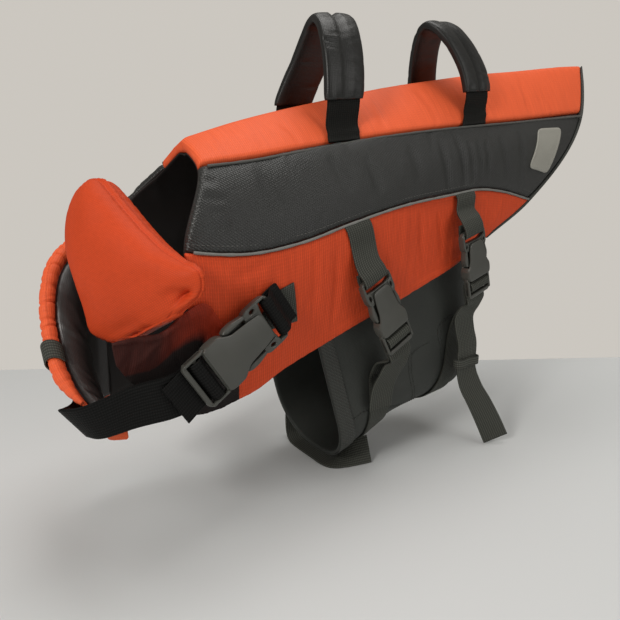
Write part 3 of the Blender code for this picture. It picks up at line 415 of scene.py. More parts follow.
def runs_over(points):
    """Running length along each row of a grid of points."""
    steps = np.linalg.norm(np.diff(points, axis=1), axis=2)
    return np.concatenate([np.zeros((len(points), 1)), np.cumsum(steps, axis=1)], axis=1)


def resampled(places, run, rows):
    """The rows of numbers at those lengths, where run gives the length at each row."""
    return np.stack([np.interp(places, run, column) for column in rows.T], axis=1)


def curve(rows, t):
    """Points at t, from 0 to 1 by length, of the smooth curve through the rows."""
    rows = np.asarray(rows, float)
    knots = lengths(rows)
    return hermite(rows, knots / knots[-1], t)


def across_rows(rows, knots, i, share):
    """For each of n curves through k rows of points, the point at that share of its segment i."""
    step = np.diff(knots, axis=1)[..., None]
    rise = np.diff(rows, axis=1) / step
    middle = (rise[:, :-1] * step[:, 1:] + rise[:, 1:] * step[:, :-1]) / (step[:, :-1] + step[:, 1:])
    slopes = np.concatenate([rise[:, :1], middle, rise[:, -1:]], axis=1)
    n = np.arange(len(rows))
    return cubic(share[:, None], step[n, i], rows[n, i], rows[n, i + 1], slopes[n, i], slopes[n, i + 1])


def flattened(*arrays):
    """The arrays at one shape, as floats, and that shape."""
    arrays = np.broadcast_arrays(*(np.asarray(a, float) for a in arrays))
    return [a.ravel() for a in arrays], arrays[0].shape


def shell(side, u, v):
    """The shell's outer surface: u runs from the front (0) to the rear (1), v from the spine (0) over the top
    seam (1) and the band seam (2) to the low edge (3)."""
    (side, u, v), shape = flattened(side, u, v)
    crest, top, band, low = (curve(rows, u) for rows in (SPINE, TOP_SEAM, BAND_SEAM, LOW_EDGE))
    pull = (np.maximum(0, 1 - u / SHIFT_REACH) ** 2)[:, None]
    right = side[:, None] > 0
    band = band + pull * np.where(right, FRONT_SHIFT[RIGHT], FRONT_SHIFT[LEFT])
    low = low + pull * np.where(right, HEM_SHIFT[RIGHT], HEM_SHIFT[LEFT])
    arch = np.stack([top[:, 0] - crest[:, 0], top[:, 1], 0 * u], axis=1)
    start = crest - SPINE_FOLD * arch - (1 - SPINE_FOLD) * (top - crest)
    rows = np.stack([start, crest, top, band, low], axis=1)
    i = np.minimum(v.astype(int), 2)
    points = across_rows(rows, runs_over(rows), i + 1, v - i)
    points[:, 1] *= side
    return points.reshape(*shape, 3)


def slopes(surface, u, v, step, low=(0, 0), high=(1, 1)):
    """Change of the surface over a small step each way, along u and along v, kept between low and high."""
    along = surface(np.minimum(u + step, high[0]), v) - surface(np.maximum(u - step, low[0]), v)
    return along, surface(u, np.minimum(v + step, high[1])) - surface(u, np.maximum(v - step, low[1]))


SMALL = 0.01  # step in u or v over which a surface's direction is measured


def shell_out(side, u, v):
    """Outward direction of the shell at u, v."""
    side, u, v = np.broadcast_arrays(*(np.asarray(a, float) for a in (side, u, v)))
    u = np.minimum(u, 0.985 - 0.12 * np.maximum(0.0, v - 2.5))
    out = np.cross(*slopes(lambda a, b: shell(side, a, b), u, v, SMALL, high=(1, 3))) * side[..., None]
    out[..., 1] = np.where(v < SMALL, 0, out[..., 1])
    return unit(out)


def puff(u, v):
    """How far the filling lifts the outer face at u, v: nothing at a seam, most between two."""
    u, v = np.broadcast_arrays(np.asarray(u, float), np.asarray(v, float))
    panel = np.minimum(v.astype(int), 2)
    across = np.clip(v - panel, 0, 1)
    rise = np.where(panel == 0, np.sin(math.pi * (0.5 + 0.5 * across)), np.sin(math.pi * across))
    ends = np.clip(np.minimum(12 * u, 12 * (1 - u)), 0, 1)
    return np.array(PUFF)[panel] * np.clip(rise, 0, 1) ** 0.6 * ends**0.5


def wall_depth(v):
    """Thickness of the shell's wall: foam down to the band seam, single cloth below it."""
    blend = np.clip((np.asarray(v, float) - 1.75) / 0.5, 0, 1)
    blend = blend * blend * (3 - 2 * blend)
    return FOAM + (CLOTH - FOAM) * blend + 3 * np.maximum(0.0, 1 - v / AT_SPINE)


def lining_depth(v):
    """How deep inside the shell's outer surface the lining starts."""
    return wall_depth(v) + LINING_GAP + 1.5 * np.maximum(0.0, 1 - v / AT_SPINE)


def inside_shell(side, u, v, depth):
    """Points that far inside the shell, kept on their own side of the spine's plane."""
    points = shell(side, u, v) - shell_out(side, u, v) * np.asarray(depth)[..., None]
    clear = np.minimum(2.4, 12 * np.asarray(v, float))
    points[..., 1] = side * np.maximum(side * points[..., 1], clear)
    return points


def on_shell(side, u, v, lift):
    """Points that far above the filled shell."""
    return shell(side, u, v) + shell_out(side, u, v) * (puff(u, v) + lift)[..., None]


def shell_spot(side, x, z):
    """u and v of the shell's points at those x and heights, on the lower panels."""
    x, z = np.asarray(x, float), np.asarray(z, float)
    us, vs = grid(np.linspace(0, 1, 41), np.linspace(1, 3, 33))
    net = shell(side, us, vs).reshape(-1, 3)
    nearest = np.argmin((x.reshape(-1, 1) - net[:, 0]) ** 2 + (z.reshape(-1, 1) - net[:, 2]) ** 2, axis=1)
    u, v = us.ravel()[nearest].reshape(x.shape), vs.ravel()[nearest].reshape(x.shape)
    small = 0.004
    for _ in range(6):
        here = shell(side, u, v)
        du, dv = slopes(lambda a, b: shell(side, a, b), u, v, small, (0, 1), (1, 3))
        du = du / (np.minimum(u + small, 1) - np.maximum(u - small, 0))[..., None]
        dv = dv / (np.minimum(v + small, 3) - np.maximum(v - small, 1))[..., None]
        det = du[..., 0] * dv[..., 2] - du[..., 2] * dv[..., 0]
        ex, ez = x - here[..., 0], z - here[..., 2]
        u = np.clip(u + (ex * dv[..., 2] - ez * dv[..., 0]) / det, 0, 1)
        v = np.clip(v + (ez * du[..., 0] - ex * du[..., 2]) / det, 1, 3)
    return u, v


def left_lift(x, z, lift):
    """Points that far outside the left side panel; ahead of the panel they go straight on."""
    x, z = np.broadcast_arrays(np.asarray(x, float), np.asarray(z, float))
    front = shell(LEFT, 0, 2.5)[..., 0] + 4
    u, v = shell_spot(LEFT, np.maximum(x, front), z)
    v = np.clip(v, 2, 3)
    points = on_shell(LEFT, u, v, lift)
    return np.stack([x, points[..., 1], z], axis=-1)


def chest(s, t):
    """The chest panel's outer surface: s runs round it from the right seam, t down it from the rim."""
    (s, t), shape = flattened(s, t)
    rows = np.stack([curve([row[k] for row in CHEST_ROWS], s) for k in range(3)], axis=1)
    knots = np.tile((0, COLLAR_END, 1), (len(s), 1))
    i = (t >= COLLAR_END).astype(int)
    share = np.where(i == 0, t / COLLAR_END, (t - COLLAR_END) / (1 - COLLAR_END))
    return across_rows(rows, knots, i, share).reshape(*shape, 3)


def chest_out(s, t):
    """Outward direction of the chest panel."""
    round_it, down = slopes(chest, s, t, SMALL)
    return unit(np.cross(down, round_it))


def chest_t(s, distance):
    """t at that distance from the rim's front line, along the panel."""
    (s, distance), shape = flattened(s, distance)
    ts = np.linspace(0, 1, 41)
    points = chest(s[:, None], ts[None, :])
    return np.array([np.interp(d, run, ts) for d, run in zip(distance, runs_over(points))]).reshape(shape)


def belly(s, w):
    """The belly panel's outer surface: s from the front (0) to the rear (1), w from the left top (-1) round
    the bottom (0) to the right top (1)."""
    (s, w), shape = flattened(s, w)
    x_low, x_top, half, z_low, z_top = curve(BELLY_ROWS, s).T
    side, turn = np.sign(w + 1e-12), np.abs(w)
    a = np.clip(turn / ROUND_PART, 0, 1) * math.pi / 2
    k = np.clip((turn - ROUND_PART) / (1 - ROUND_PART), 0, 1)
    bottom = turn < ROUND_PART
    y = np.where(bottom, half * np.sin(a) ** 0.9, half * (1 + (BELLY_TOP_WIDTH - 1) * k))
    rounded = z_low + ROUND_HEIGHT * (1 - np.cos(a)) ** 1.15
    z = np.where(bottom, rounded, z_low + ROUND_HEIGHT + (z_top - z_low - ROUND_HEIGHT) * k)
    share = (z - z_low) / (z_top - z_low)
    return np.stack([x_low + (x_top - x_low) * share, side * y, z], axis=1).reshape(*shape, 3)


def belly_out(s, w):
    """Outward direction of the belly panel."""
    back, round_it = slopes(belly, s, w, SMALL, low=(0, -1))
    return unit(np.cross(round_it, back))


# ---------------------------------------------------------------- relief: creases, puckers, unevenness

def creases(x, z, rows):
    """Height of soft ridges, or troughs where depth is below 0: rows of the two ends (x1, z1), (x2, z2),
    width, depth and how far the middle bows to one side."""
    total = np.zeros(np.broadcast(x, z).shape)
    for x1, z1, x2, z2, width, depth, bow in rows:
        dx, dz = x2 - x1, z2 - z1
        length = math.hypot(dx, dz)
        t = ((x - x1) * dx + (z - z1) * dz) / length**2
        fade = np.clip(4 * t * (1 - t), 0, 1)
        off = ((x - x1) * dz - (z - z1) * dx) / length - bow * fade
        total += depth * bell(off, width) * fade**0.7
    return total


def wrinkles(seed, count, box, length, width, depth, turn, spread):
    """Rows of small uneven creases inside a box (x1, z1, x2, z2), near that direction in degrees."""
    luck = np.random.default_rng(seed)
    rows = []
    for _ in range(count):
        x, z = luck.uniform(box[0], box[2]), luck.uniform(box[1], box[3])
        a = math.radians(turn + luck.uniform(-spread, spread))
        reach = luck.uniform(*length) / 2
        dx, dz = math.cos(a) * reach, math.sin(a) * reach
        rows.append((x - dx, z - dz, x + dx, z + dz, luck.uniform(*width),
                     luck.uniform(*depth) * luck.choice([-1, 1]), luck.uniform(-0.08, 0.08) * reach))
    return rows


def puckers(along, distance, seed, pitch, depth, reach):
    """Small uneven gathers across a seam: they fade with the distance from it."""
    luck = np.random.default_rng(seed)
    place, total = float(np.min(along)), np.zeros(np.broadcast(along, distance).shape)
    end = float(np.max(along))
    while place < end:
        place += pitch * luck.uniform(0.5, 1.6)
        lean, width = luck.uniform(-0.5, 0.5), pitch * luck.uniform(0.16, 0.34)
        off = (along - place - lean * distance) / width
        high, fade = depth * luck.uniform(0.4, 1.0), reach * luck.uniform(0.5, 1.3)
        total += high * np.exp(-off**2) * np.exp(-distance / fade)
    return total


def uneven(points, seed, size, depth):
    """Gentle unevenness of cloth at that size, in millimetres."""
    luck = np.random.default_rng(seed)
    total = np.zeros(points.shape[:-1])
    for _ in range(7):
        way = unit(luck.normal(size=3)) / (size * luck.uniform(0.6, 1.6))
        total += np.sin(points @ way + luck.uniform(0, 6.3))
    return total * depth / 3


# ---------------------------------------------------------------- meshes

def build(name, verts, faces, uv, cloth_name, nodes):
    """Object of cloth from points in millimetres, with its UV map in metres, for those CAD nodes."""
    verts = np.asarray(verts, float)
    quads = np.array([f if len(f) == 4 else (*f, f[2]) for f in faces])
    a, b, c, d = (verts[quads[:, k]] for k in range(4))
    volume = np.einsum("ij,ij->", a, np.cross(b, c)) + np.einsum("ij,ij->", a, np.cross(c, d))
    if volume < 0:
        faces = [f[::-1] for f in faces]
    mesh = bpy.data.meshes.new(name)
    mesh.from_pydata((verts * MM).tolist(), [], faces)
    layer = mesh.uv_layers.new(name="cloth")
    corner = np.empty(len(mesh.loops), np.int32)
    mesh.loops.foreach_get("vertex_index", corner)
    layer.data.foreach_set("uv", (np.asarray(uv, float)[corner] * MM).ravel())
    mesh.shade_smooth()
    mesh.materials.append(cloth(cloth_name))
    return own(name, mesh, nodes)


def own(name, mesh, nodes):
    """Object of that mesh, on the body, in place of the CAD nodes that it stands for, which it hides."""
    made = linked(name, mesh)
    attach(made, "root")
    if nodes:
        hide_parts(*nodes)
    return made


def grid_lengths(points):
    """Running lengths down the columns and over the rows of a grid of points."""
    return runs_over(points.swapaxes(0, 1)).T, runs_over(points)


def cut_sheet(points):
    """Measures the lengths down and over that grid of points, and does nothing more with them."""
    down, over = grid_lengths(points)


def wall(name, outer, inner, cloth_name, uv=None, held=None):
    """Closed wall of cloth between two grids of points, its rim rounded by a middle row."""
    rows, cols = outer.shape[:2]
    if uv is None:
        uv = np.stack(grid_lengths(outer), axis=2)
    ring = ([(0, j) for j in range(cols)] + [(i, cols - 1) for i in range(1, rows)]
            + [(rows - 1, j) for j in range(cols - 2, -1, -1)] + [(i, 0) for i in range(rows - 2, 0, -1)])
    at = tuple(np.array(ring).T)
    inwards = np.clip(at[0], 1, rows - 2), np.clip(at[1], 1, cols - 2)
    thick = np.linalg.norm(outer[at] - inner[at], axis=1, keepdims=True)
    bulge = unit(outer[at] - outer[inwards]) * np.minimum(0.15 * thick, 0.12)
    middle = (outer[at] + inner[at]) / 2 + bulge
    verts = np.concatenate([outer.reshape(-1, 3), inner.reshape(-1, 3), middle])
    uvs = np.concatenate([uv.reshape(-1, 2), uv.reshape(-1, 2), uv[at]])
    back, rim = rows * cols, 2 * rows * cols
    a = np.arange(back).reshape(rows, cols)[:-1, :-1].ravel()
    front = np.stack([a, a + 1, a + cols + 1, a + cols], axis=1)
    faces = front.tolist() + (front[:, ::-1] + back).tolist()
    spots = [i * cols + j for i, j in ring]
    for k, p in enumerate(spots):
        n = (k + 1) % len(spots)
        q = spots[n]
        faces += [(q, p, rim + k, rim + n), (rim + n, rim + k, back + p, back + q)]
    made = build(name, verts, faces, uvs, cloth_name, [name])
    if held:
        cut_sheet(outer)
    return made


def skin_faces(rows, sides):
    """Faces of a skin through that many rings of points."""
    i, j = (k.ravel() for k in grid(np.arange(rows - 1), np.arange(sides)))
    k = (j + 1) % sides
    return np.stack([i * sides + j, i * sides + k, (i + 1) * sides + k, (i + 1) * sides + j], axis=1)


def tube(name, rings, cloth_name):
    """Closed body through rings of points (n, k, 3), its ends filled towards their middles."""
    count, sides = rings.shape[:2]
    run = lengths(rings.mean(axis=1))
    around = lengths(rings[count // 2])
    uv = np.stack(np.broadcast_arrays(around[None, :], run[:, None]), axis=2).reshape(-1, 2)
    verts = np.concatenate([rings.reshape(-1, 3), rings[[0, -1]].mean(axis=1)])
    uv = np.concatenate([uv, [[0, 0], [0, run[-1]]]])
    faces = skin_faces(count, sides).tolist()
    last, fill = (count - 1) * sides, count * sides
    for j in range(sides):
        k = (j + 1) % sides
        faces += [(k, j, fill), (last + j, last + k, fill + 1)]
    return build(name, verts, faces, uv, cloth_name, [name])


def ribbon_frames(path, across):
    """Side and normal directions along a flat band, which keeps its side direction where it turns over."""
    side = unit(across)
    return side, unit(np.cross(np.gradient(path, axis=0), side))


def swept(path, side, normal, section):
    """Rings along a path, of a section given as its points across and through."""
    return path[:, None] + side[:, None] * section[..., :1] + normal[:, None] * section[..., 1:]


def flat_section(half_width, half_thick, across_steps=9, round_steps=3):
    """Rounded rectangle as points round it: across, thickness."""
    r = half_thick
    points = []
    for turn, sign in ((0, 1), (math.pi, -1)):
        for k in range(across_steps):
            points.append((sign * (half_width - r) * (2 * k / (across_steps - 1) - 1), sign * -r))
        for k in range(1, round_steps + 1):
            a = -math.pi / 2 + math.pi * k / (round_steps + 1) + turn
            points.append((sign * (half_width - r) + r * math.cos(a), r * math.sin(a)))
    return np.array(points)


def even_path(points, across, step):
    """The path and its side directions again, smooth and at even steps."""
    points, across = np.asarray(points, float), np.asarray(across, float)
    count = max(8, int(lengths(points)[-1] / step))
    both = hermite(np.concatenate([points, unit(across)], axis=1), lengths(points),
                   np.linspace(0, lengths(points)[-1], count + 1))
    return both[:, :3], unit(both[:, 3:])


def webbing(name, points, across, width, cloth_name, thick=WEB_THICK, step=1.6, wave=0.12,
            held="stretched", rests_on=(), with_pieces=()):
    """Webbing swept along a path, with rounded edges and a little unevenness."""
    path, across = even_path(points, across, step)
    side, normal = ribbon_frames(path, across)
    path = path + normal * uneven(path, 1, 14, wave)[:, None]
    made = tube(name, swept(path, side, normal, flat_section(width / 2, thick / 2)), cloth_name)
    return made


def ribbed(name, path, radius, cloth_name, sides=10):
    """Round body along a path that doesn't run upwards, with a row of radii for each of its points."""
    along, upwards = unit(np.gradient(path, axis=0)), np.array((0.01, 0.02, 1.0))
    side = unit(upwards - (upwards * along).sum(axis=1, keepdims=True) * along)
    a = circle(sides)[None, :, None]
    round_it = np.cos(a) * side[:, None] + np.sin(a) * np.cross(along, side)[:, None]
    return tube(name, path[:, None] + radius[..., None] * round_it, cloth_name)


STITCH_LENGTH, STITCH_PITCH, STITCH_RADIUS = 2.4, 3.4, 0.28
# Sections along a stitch: place in its length, rise and thickness in its radius.
STITCH_FORM = np.array([
    (-0.5, -0.5, 0.45), (-0.36, 0.5, 0.95), (0, 0.9, 1.0), (0.36, 0.5, 0.95), (0.5, -0.5, 0.45)])


def stitches(name, runs, cloth_name):
    """Rows of stitches as one mesh: each run is points on the cloth and their outward directions."""
    places, rise, swell = STITCH_FORM[:, 0] * STITCH_LENGTH, *(STITCH_FORM[:, 1:].T * STITCH_RADIUS)
    corners = [k * math.pi / 2 for k in (0.5, 1.5, 2.5, 3.5)]
    one = [*skin_faces(len(places), 4).tolist(), (3, 2, 1, 0), (16, 17, 18, 19)]
    verts, faces = [], []
    for points, outs in runs:
        run = lengths(points)
        both = np.concatenate([points, outs], axis=1)
        for place in np.arange(STITCH_PITCH / 2, run[-1], STITCH_PITCH):
            at = resampled(place + places, run, both)
            out = unit(at[:, 3:])
            over = np.cross(out, unit(at[-1, :3] - at[0, :3]))
            faces += [[len(verts) + corner for corner in face] for face in one]
            for k, a in itertools.product(range(len(places)), corners):
                high = rise[k] + swell[k] * math.sin(a)
                verts.append(at[k, :3] + out[k] * high + over[k] * swell[k] * math.cos(a))
    verts = np.array(verts)
    build(name, verts, faces, verts[:, :2], cloth_name, None)


# ---------------------------------------------------------------- shell pieces

STEP = 2.0  # usual size of a cell of the fine meshes
EDGE = 0.003  # how far, in v, a panel stops short of its seam


def cells(length, step=STEP):
    """How many points split that length into cells of that size."""
    return int(math.ceil(length / step)) + 1


def rounded_rim(share, reach, depth):
    """Fall of a panel's face towards its rim, where share is the distance from the rim in millimetres."""
    k = np.clip(1 - share / reach, 0, 1)
    return -depth * (1 - np.sqrt(np.clip(1 - k**2, 0, 1)))


TOP_SHIFT, SIDE_SHIFT = 17, 23  # how far to the front the creases lie on the right side
# Creases of the top: x and distance from the spine of the two ends, width, depth, bow.
TOP_CREASES = [
    (-60, 12, -52, 34, 3.0, -0.7, 1.0), (-28, 6, -20, 34, 4.0, -0.8, -1.0), (34, 8, 30, 34, 3.5, -0.6, 1.0),
    (86, 6, 92, 33, 4.0, -0.7, 1.5), (170, 5, 176, 30, 4.5, -0.8, 1.0), (232, 5, 226, 27, 4.0, -0.6, -1.0),
    (-100, 10, -84, 30, 4.0, 0.6, 1.0), (10, 4, 14, 30, 5.0, 0.5, 1.0), (120, 20, 160, 27, 3.0, -0.6, 1.0),
]


def top_panel():
    """The foam-filled top, one piece over both sides of the spine."""
    us = np.linspace(0, 1, cells(480))
    vs = np.concatenate([-np.linspace(1 - EDGE, 0, cells(40), endpoint=False),
                         np.linspace(0, 1 - EDGE, cells(40))])
    u, v = grid(us, vs)
    side, v = np.where(v < 0, LEFT, RIGHT), np.abs(v)
    plain = on_shell(side, u, v, 0.0 * u)
    down, over = grid_lengths(plain)
    from_seam = np.minimum(over, over[:, -1:] - over)
    x, y = plain[..., 0] + np.where(side > 0, TOP_SHIFT, 0), np.abs(plain[..., 1])
    small = wrinkles(11, 34, (-130, 2, 320, 34), (10, 34), (1.6, 3.6), (0.12, 0.4), 80, 35)
    lift = creases(x, y, TOP_CREASES + small)
    lift += puckers(down, from_seam, 12, 9.0, 0.5, 6.0) + uneven(plain, 13, 24, 0.35)
    lift += rounded_rim(from_seam, 4.0, 1.4)
    ends = np.minimum(down, down[-1:, :] - down)
    lift += rounded_rim(ends, 5.0, 1.6)
    outer = on_shell(side, u, v, lift)
    inner = inside_shell(side, u, v, wall_depth(v))
    made = wall("top_panel", outer, inner, "orange", uv=np.stack([plain[..., 0], over], axis=2))


# Creases of the bands and the side panels: x and height of the two ends, width, depth, bow.
BAND_CREASES = [
    (82, 287, 88, 241, 3.2, -1.3, 1.0), (103, 291, 108, 244, 3.0, -1.5, -1.0),
    (118, 287, 120, 248, 2.6, -1.0, 1.0), (130, 287, 130, 252, 2.4, -0.8, 0.0),
    (142, 287, 141, 254, 2.8, -1.1, 1.0), (-3, 274, 7, 246, 4.5, -1.0, 1.5),
    (-37, 274, -22, 250, 4.5, -0.9, 1.5), (-143, 262, -128, 258, 2.6, -0.9, 0.0),
    (-141, 250, -124, 247, 2.6, -1.0, 0.0), (-140, 240, -126, 240, 2.4, -0.8, 0.0),
    (-141, 230, -124, 232, 2.6, -0.9, 0.0), (46, 284, 52, 252, 5.0, -0.8, 1.0),
    (-96, 268, -84, 236, 5.0, -0.8, 1.0), (165, 292, 170, 252, 4.0, -0.9, 1.0),
    (196, 296, 190, 250, 4.0, -0.8, -1.0),
]
PANEL_CREASES = [
    (-60, 208, -58, 155, 3.2, -1.2, 1.0), (-41, 210, -39, 151, 3.4, -1.3, -1.0),
    (51, 231, 60, 180, 3.4, -1.2, 1.0), (74, 229, 84, 186, 3.2, -1.2, -1.0),
    (-94, 210, -88, 150, 4.0, -0.9, 1.5), (8, 226, 16, 170, 4.0, -0.9, 1.0),
    (-128, 196, -96, 206, 3.4, -0.9, 1.0), (-20, 220, -4, 170, 3.6, 0.7, 1.0),
    (30, 232, 36, 178, 4.0, 0.7, -1.0), (110, 236, 118, 196, 3.0, -0.9, 1.0),
    (140, 238, 146, 212, 3.0, -0.7, 1.0), (-74, 205, -70, 140, 4.0, 0.8, 1.0),
]
LOW_GROOVE = 4.3  # distance of the stitched groove from the band's low edge
BAND_DEPTH = 54


def side_piece(side, suffix, panel):
    """The side band (panel 1) or the side panel (panel 2) of one side."""
    name = ("side_band_", "side_panel_")[panel - 1] + suffix
    us = np.linspace(0, 1, cells((440, 400)[panel - 1]))
    vs = np.linspace(panel + EDGE, panel + 1 - EDGE, cells((BAND_DEPTH, 100)[panel - 1]))
    u, v = grid(us, vs)
    plain = on_shell(side, u, v, 0.0 * u)
    down, over = grid_lengths(plain)
    from_top, from_low = over, over[:, -1:] - over
    x, z = plain[..., 0] + (SIDE_SHIFT if side == RIGHT else 0), plain[..., 2]
    ends = np.minimum(down, down[-1:, :] - down)
    if panel == 1:
        small = wrinkles(21 + side, 30, (-130, 225, 300, 300), (8, 30), (1.8, 4.0), (0.1, 0.35), 82, 30)
        lift = creases(x, z, BAND_CREASES + small) * 1.7
        lift += puckers(over, down, 26 + side, 7.0, 0.9, 7.0)
        lift += (puckers(down, from_top, 22 + side, 8.0, 0.7, 8.0)
                 + puckers(down, from_low, 24 + side, 7.0, 0.55, 7.0))
        lift += uneven(plain, 25 + side, 22, 0.8)
        lift += rounded_rim(np.minimum(from_top, from_low), 4.0, 1.6) + rounded_rim(ends, 6.0, 2.0)
        lift -= 0.8 * bell(from_low - LOW_GROOVE, 0.9) + 2.6 * bell(from_top, 0.65 * piping_drop(u))
    else:
        small = wrinkles(31 + side, 46, (-150, 110, 200, 240), (10, 40), (1.4, 3.4), (0.12, 0.45), 84, 24)
        lift = creases(x, z, PANEL_CREASES + small)
        lift += (puckers(down, from_top, 32 + side, 9.0, 0.55, 7.0)
                 + puckers(down, from_low, 34 + side, 9.0, 0.4, 6.0))
        lift += uneven(plain, 35 + side, 26, 0.7)
        hem = 1 / (1 + np.exp(-(8.0 - from_low) / 0.5))
        lift += 0.7 * hem - 0.35 * bell(from_low - 6.6, 0.6)
        lift += rounded_rim(from_top, 3.0, 1.0)
    outer = on_shell(side, u, v, lift)
    inner = inside_shell(side, u, v, wall_depth(v))
    if panel == 2:
        inner = inner + shell_out(side, u, v) * np.minimum(0, lift)[..., None] * 0.5
    uv = np.stack([plain[..., 0], over], axis=2)
    if panel == 1:
        made = wall(name, outer, inner, "twill", uv=uv)
    else:
        wall(name, outer, inner, "orange_side", uv=uv, held="hung")


def all_round(step):
    """Sides and v of a run over the whole shell, from the left low edge to the right one."""
    vs = np.concatenate([np.linspace(3 - EDGE, 0, step, endpoint=False), [0.0],
                         np.linspace(0, 3 - EDGE, step)[1:]])
    return np.where(np.arange(len(vs)) < step, LEFT, RIGHT), vs


def lining():
    """One cloth all round the inside of the shell, with soft folds that only go inwards."""
    side, v = all_round(72)
    u, v = grid(np.linspace(0, 1, 150), v)
    side = np.broadcast_to(side, u.shape)
    depth = lining_depth(v)
    flat = inside_shell(side, u, v, depth)
    folds = wrinkles(42, 60, (-160, 110, 300, 290), (14, 50), (2.0, 5.0), (0.2, 0.8), 85, 30)
    soft = np.minimum(0.0, uneven(flat, 41, 30, 0.5) + creases(flat[..., 0], flat[..., 2], folds))
    clear = np.clip(np.abs(v) * 4 - 0.6, 0, 1)
    outer = inside_shell(side, u, v, depth - soft * clear)
    inner = inside_shell(side, u, v, depth + LINING - soft * clear)
    wall("lining", outer, inner, "lining", held="hung")


def piping_drop(u):
    """How far below the top seam its piping shows on the band."""
    return 2.7 + 2.3 * np.clip(1 - u / 0.35, 0, 1)


def piping(name, side, panel):
    """Covered cord along the top seam (panel 1) or the band seam (panel 2)."""
    u = np.linspace(0.012, 0.998, 300)
    # the top piping's darker cloth is painted shade
    drop, lift, cloth_name = ((piping_drop(u), 1.3, "piping_top"), (0 * u, 1.1, "piping"))[panel - 1]
    v = panel + drop / BAND_DEPTH
    path = shell(side, u, v) + shell_out(side, u, v) * lift
    run = lengths(path)[:, None]
    ribbed(name, path, 1.05 + 0.08 * np.sin(run / 3.3) + 0.06 * np.sin(run / 1.9 + 1), cloth_name)


def band_stitches(side, suffix):
    """Row of stitches along the band's low edge, in its groove."""
    u = np.linspace(0.006, 0.994, 300)
    v = np.full_like(u, 2 - LOW_GROOVE / BAND_DEPTH)
    stitches("stitches_band_" + suffix, [(on_shell(side, u, v, -0.1), shell_out(side, u, v))], "thread")


def rear_binding():
    """Tape folded round the rear edge of the panels."""
    side, v = all_round(90)
    keep = (v == 0) | (v > 0.3)
    side, v = side[keep], v[keep]
    edge = shell(side, 1.0, v)
    run = unit(np.gradient(edge, axis=0))
    out = shell_out(side, np.ones_like(v), v)
    back = np.cross(run, out)
    back = unit(back * np.sign(back[:, :1]))
    depth = np.where(v == 0, 1.45 * FOAM, lining_depth(v) + LINING)
    near, far, high = 2 * GAP, 2 * GAP + 3.2, 1.0
    middle = edge + back * ((near + far) / 2) - out * ((depth - high) / 2)[:, None]
    half_deep = (depth + high) / 2
    section = flat_section(1.0, 0.5, across_steps=4)  # here it runs outwards and backwards
    rings = (middle[:, None] + out[:, None] * (section[None, :, :1] * half_deep[:, None, None])
             + back[:, None] * (section[None, :, 1:] * 2 * (far - near) / 2))
    made = tube("rear_binding", rings, "binding")


PATCH = dict(u=0.825, u_along=0.095, v=1.17, v_along=0.53, lean=0.07)
PATCH_LIFT, PATCH_LONG, PATCH_DEEP, PATCH_CORNER = GAP + 1.2, 42, 26, 0.5


def round_corners(j, k):
    """j, from -1 to 1, drawn in where k nears a corner."""
    near = (np.abs(k) - 1 + PATCH_CORNER) / PATCH_CORNER
    return j * np.where(near > 0, np.sqrt(np.clip(1 - 0.16 * near**4, 0, 1)), 1)


def reflective_patch(side, suffix):
    """Plain reflective patch near the rear of the band, with rounded corners and a raised border."""
    j, k = grid(np.linspace(-1, 1, 34), np.linspace(-1, 1, 26))
    j, k = (round_corners(j, k) + 1) / 2, (round_corners(k, j) + 1) / 2
    rim = np.minimum.reduce([j * PATCH_LONG, (1 - j) * PATCH_LONG, k * PATCH_DEEP, (1 - k) * PATCH_DEEP])
    border = 0.35 * np.exp(-((rim - 1.2) / 1.3) ** 4)
    u = PATCH["u"] + PATCH["lean"] * k + (PATCH["u_along"] - 0.01 * k) * j
    v = PATCH["v"] + PATCH["v_along"] * k
    outer, inner = on_shell(side, u, v, PATCH_LIFT + border), on_shell(side, u, v, GAP + 0.3)
    wall("reflective_patch_" + suffix, outer, inner, "reflective", held="laid")


# ---------------------------------------------------------------- neck and chest

def chest_net(start, end, low):
    """Grid on the chest panel behind its rim: points, directions out, lengths, s, share of the way down."""
    s, share = grid(np.linspace(start, end, cells(190)), np.linspace(0, low, 60))
    rim = chest_t(s[:, :1], 2 * RIM_RADIUS + 4 * GAP)
    t = rim + (1 - rim) * share
    plain = chest(s, t)
    return plain, chest_out(s, t), *grid_lengths(plain), s, share


def chest_panel():
    """Orange cloth from the right side panel round under the neck, gathered into the rim."""
    plain, out, down, over, *_ = chest_net(0.0, 1, 1)
    lift = creases(down, over, wrinkles(51, 50, (0, 0, 200, 140), (12, 46), (1.8, 4.0), (0.15, 0.6), 80, 40))
    lift += puckers(down, over, 52, 7.0, 0.8, 9.0) + uneven(plain, 53, 20, 0.6)
    outer = plain + out * np.minimum(lift, 0.8)[..., None]
    inner = plain - out * (CLOTH - np.minimum(lift, 0) * 0.6)[..., None]
    wall("chest_panel", outer, inner, "orange", held="gathered")


def chest_lining():
    """Padded lining inside the chest panel, fattest near the rim."""
    plain, out, down, over, s, share = chest_net(0.002, 0.97, 0.97)
    roll = np.where(share < COLLAR_END, np.sin(math.pi * np.clip(share / COLLAR_END, 0, 1)) ** 0.7, 0.0)
    taper = np.minimum(1.0, np.minimum(8 * (1 - s), 8 * s))
    pad = PAD * roll * taper
    folds = creases(down, over, wrinkles(61, 30, (0, 0, 200, 60), (14, 36), (2.2, 4.5), (0.3, 0.9), 85, 25))
    folds += puckers(down, over, 62, 8.0, 0.9, 8.0) + uneven(plain, 63, 18, 0.5)
    thick = CLOTH + 2 * GAP + LINING + 0.6 + np.maximum(0, pad + folds * np.clip(pad / 3, 0, 1))
    outer, inner = plain - out * (CLOTH + 2 * GAP), plain - out * thick[..., None]
    made = wall("chest_lining", outer, inner, "chest_lining")


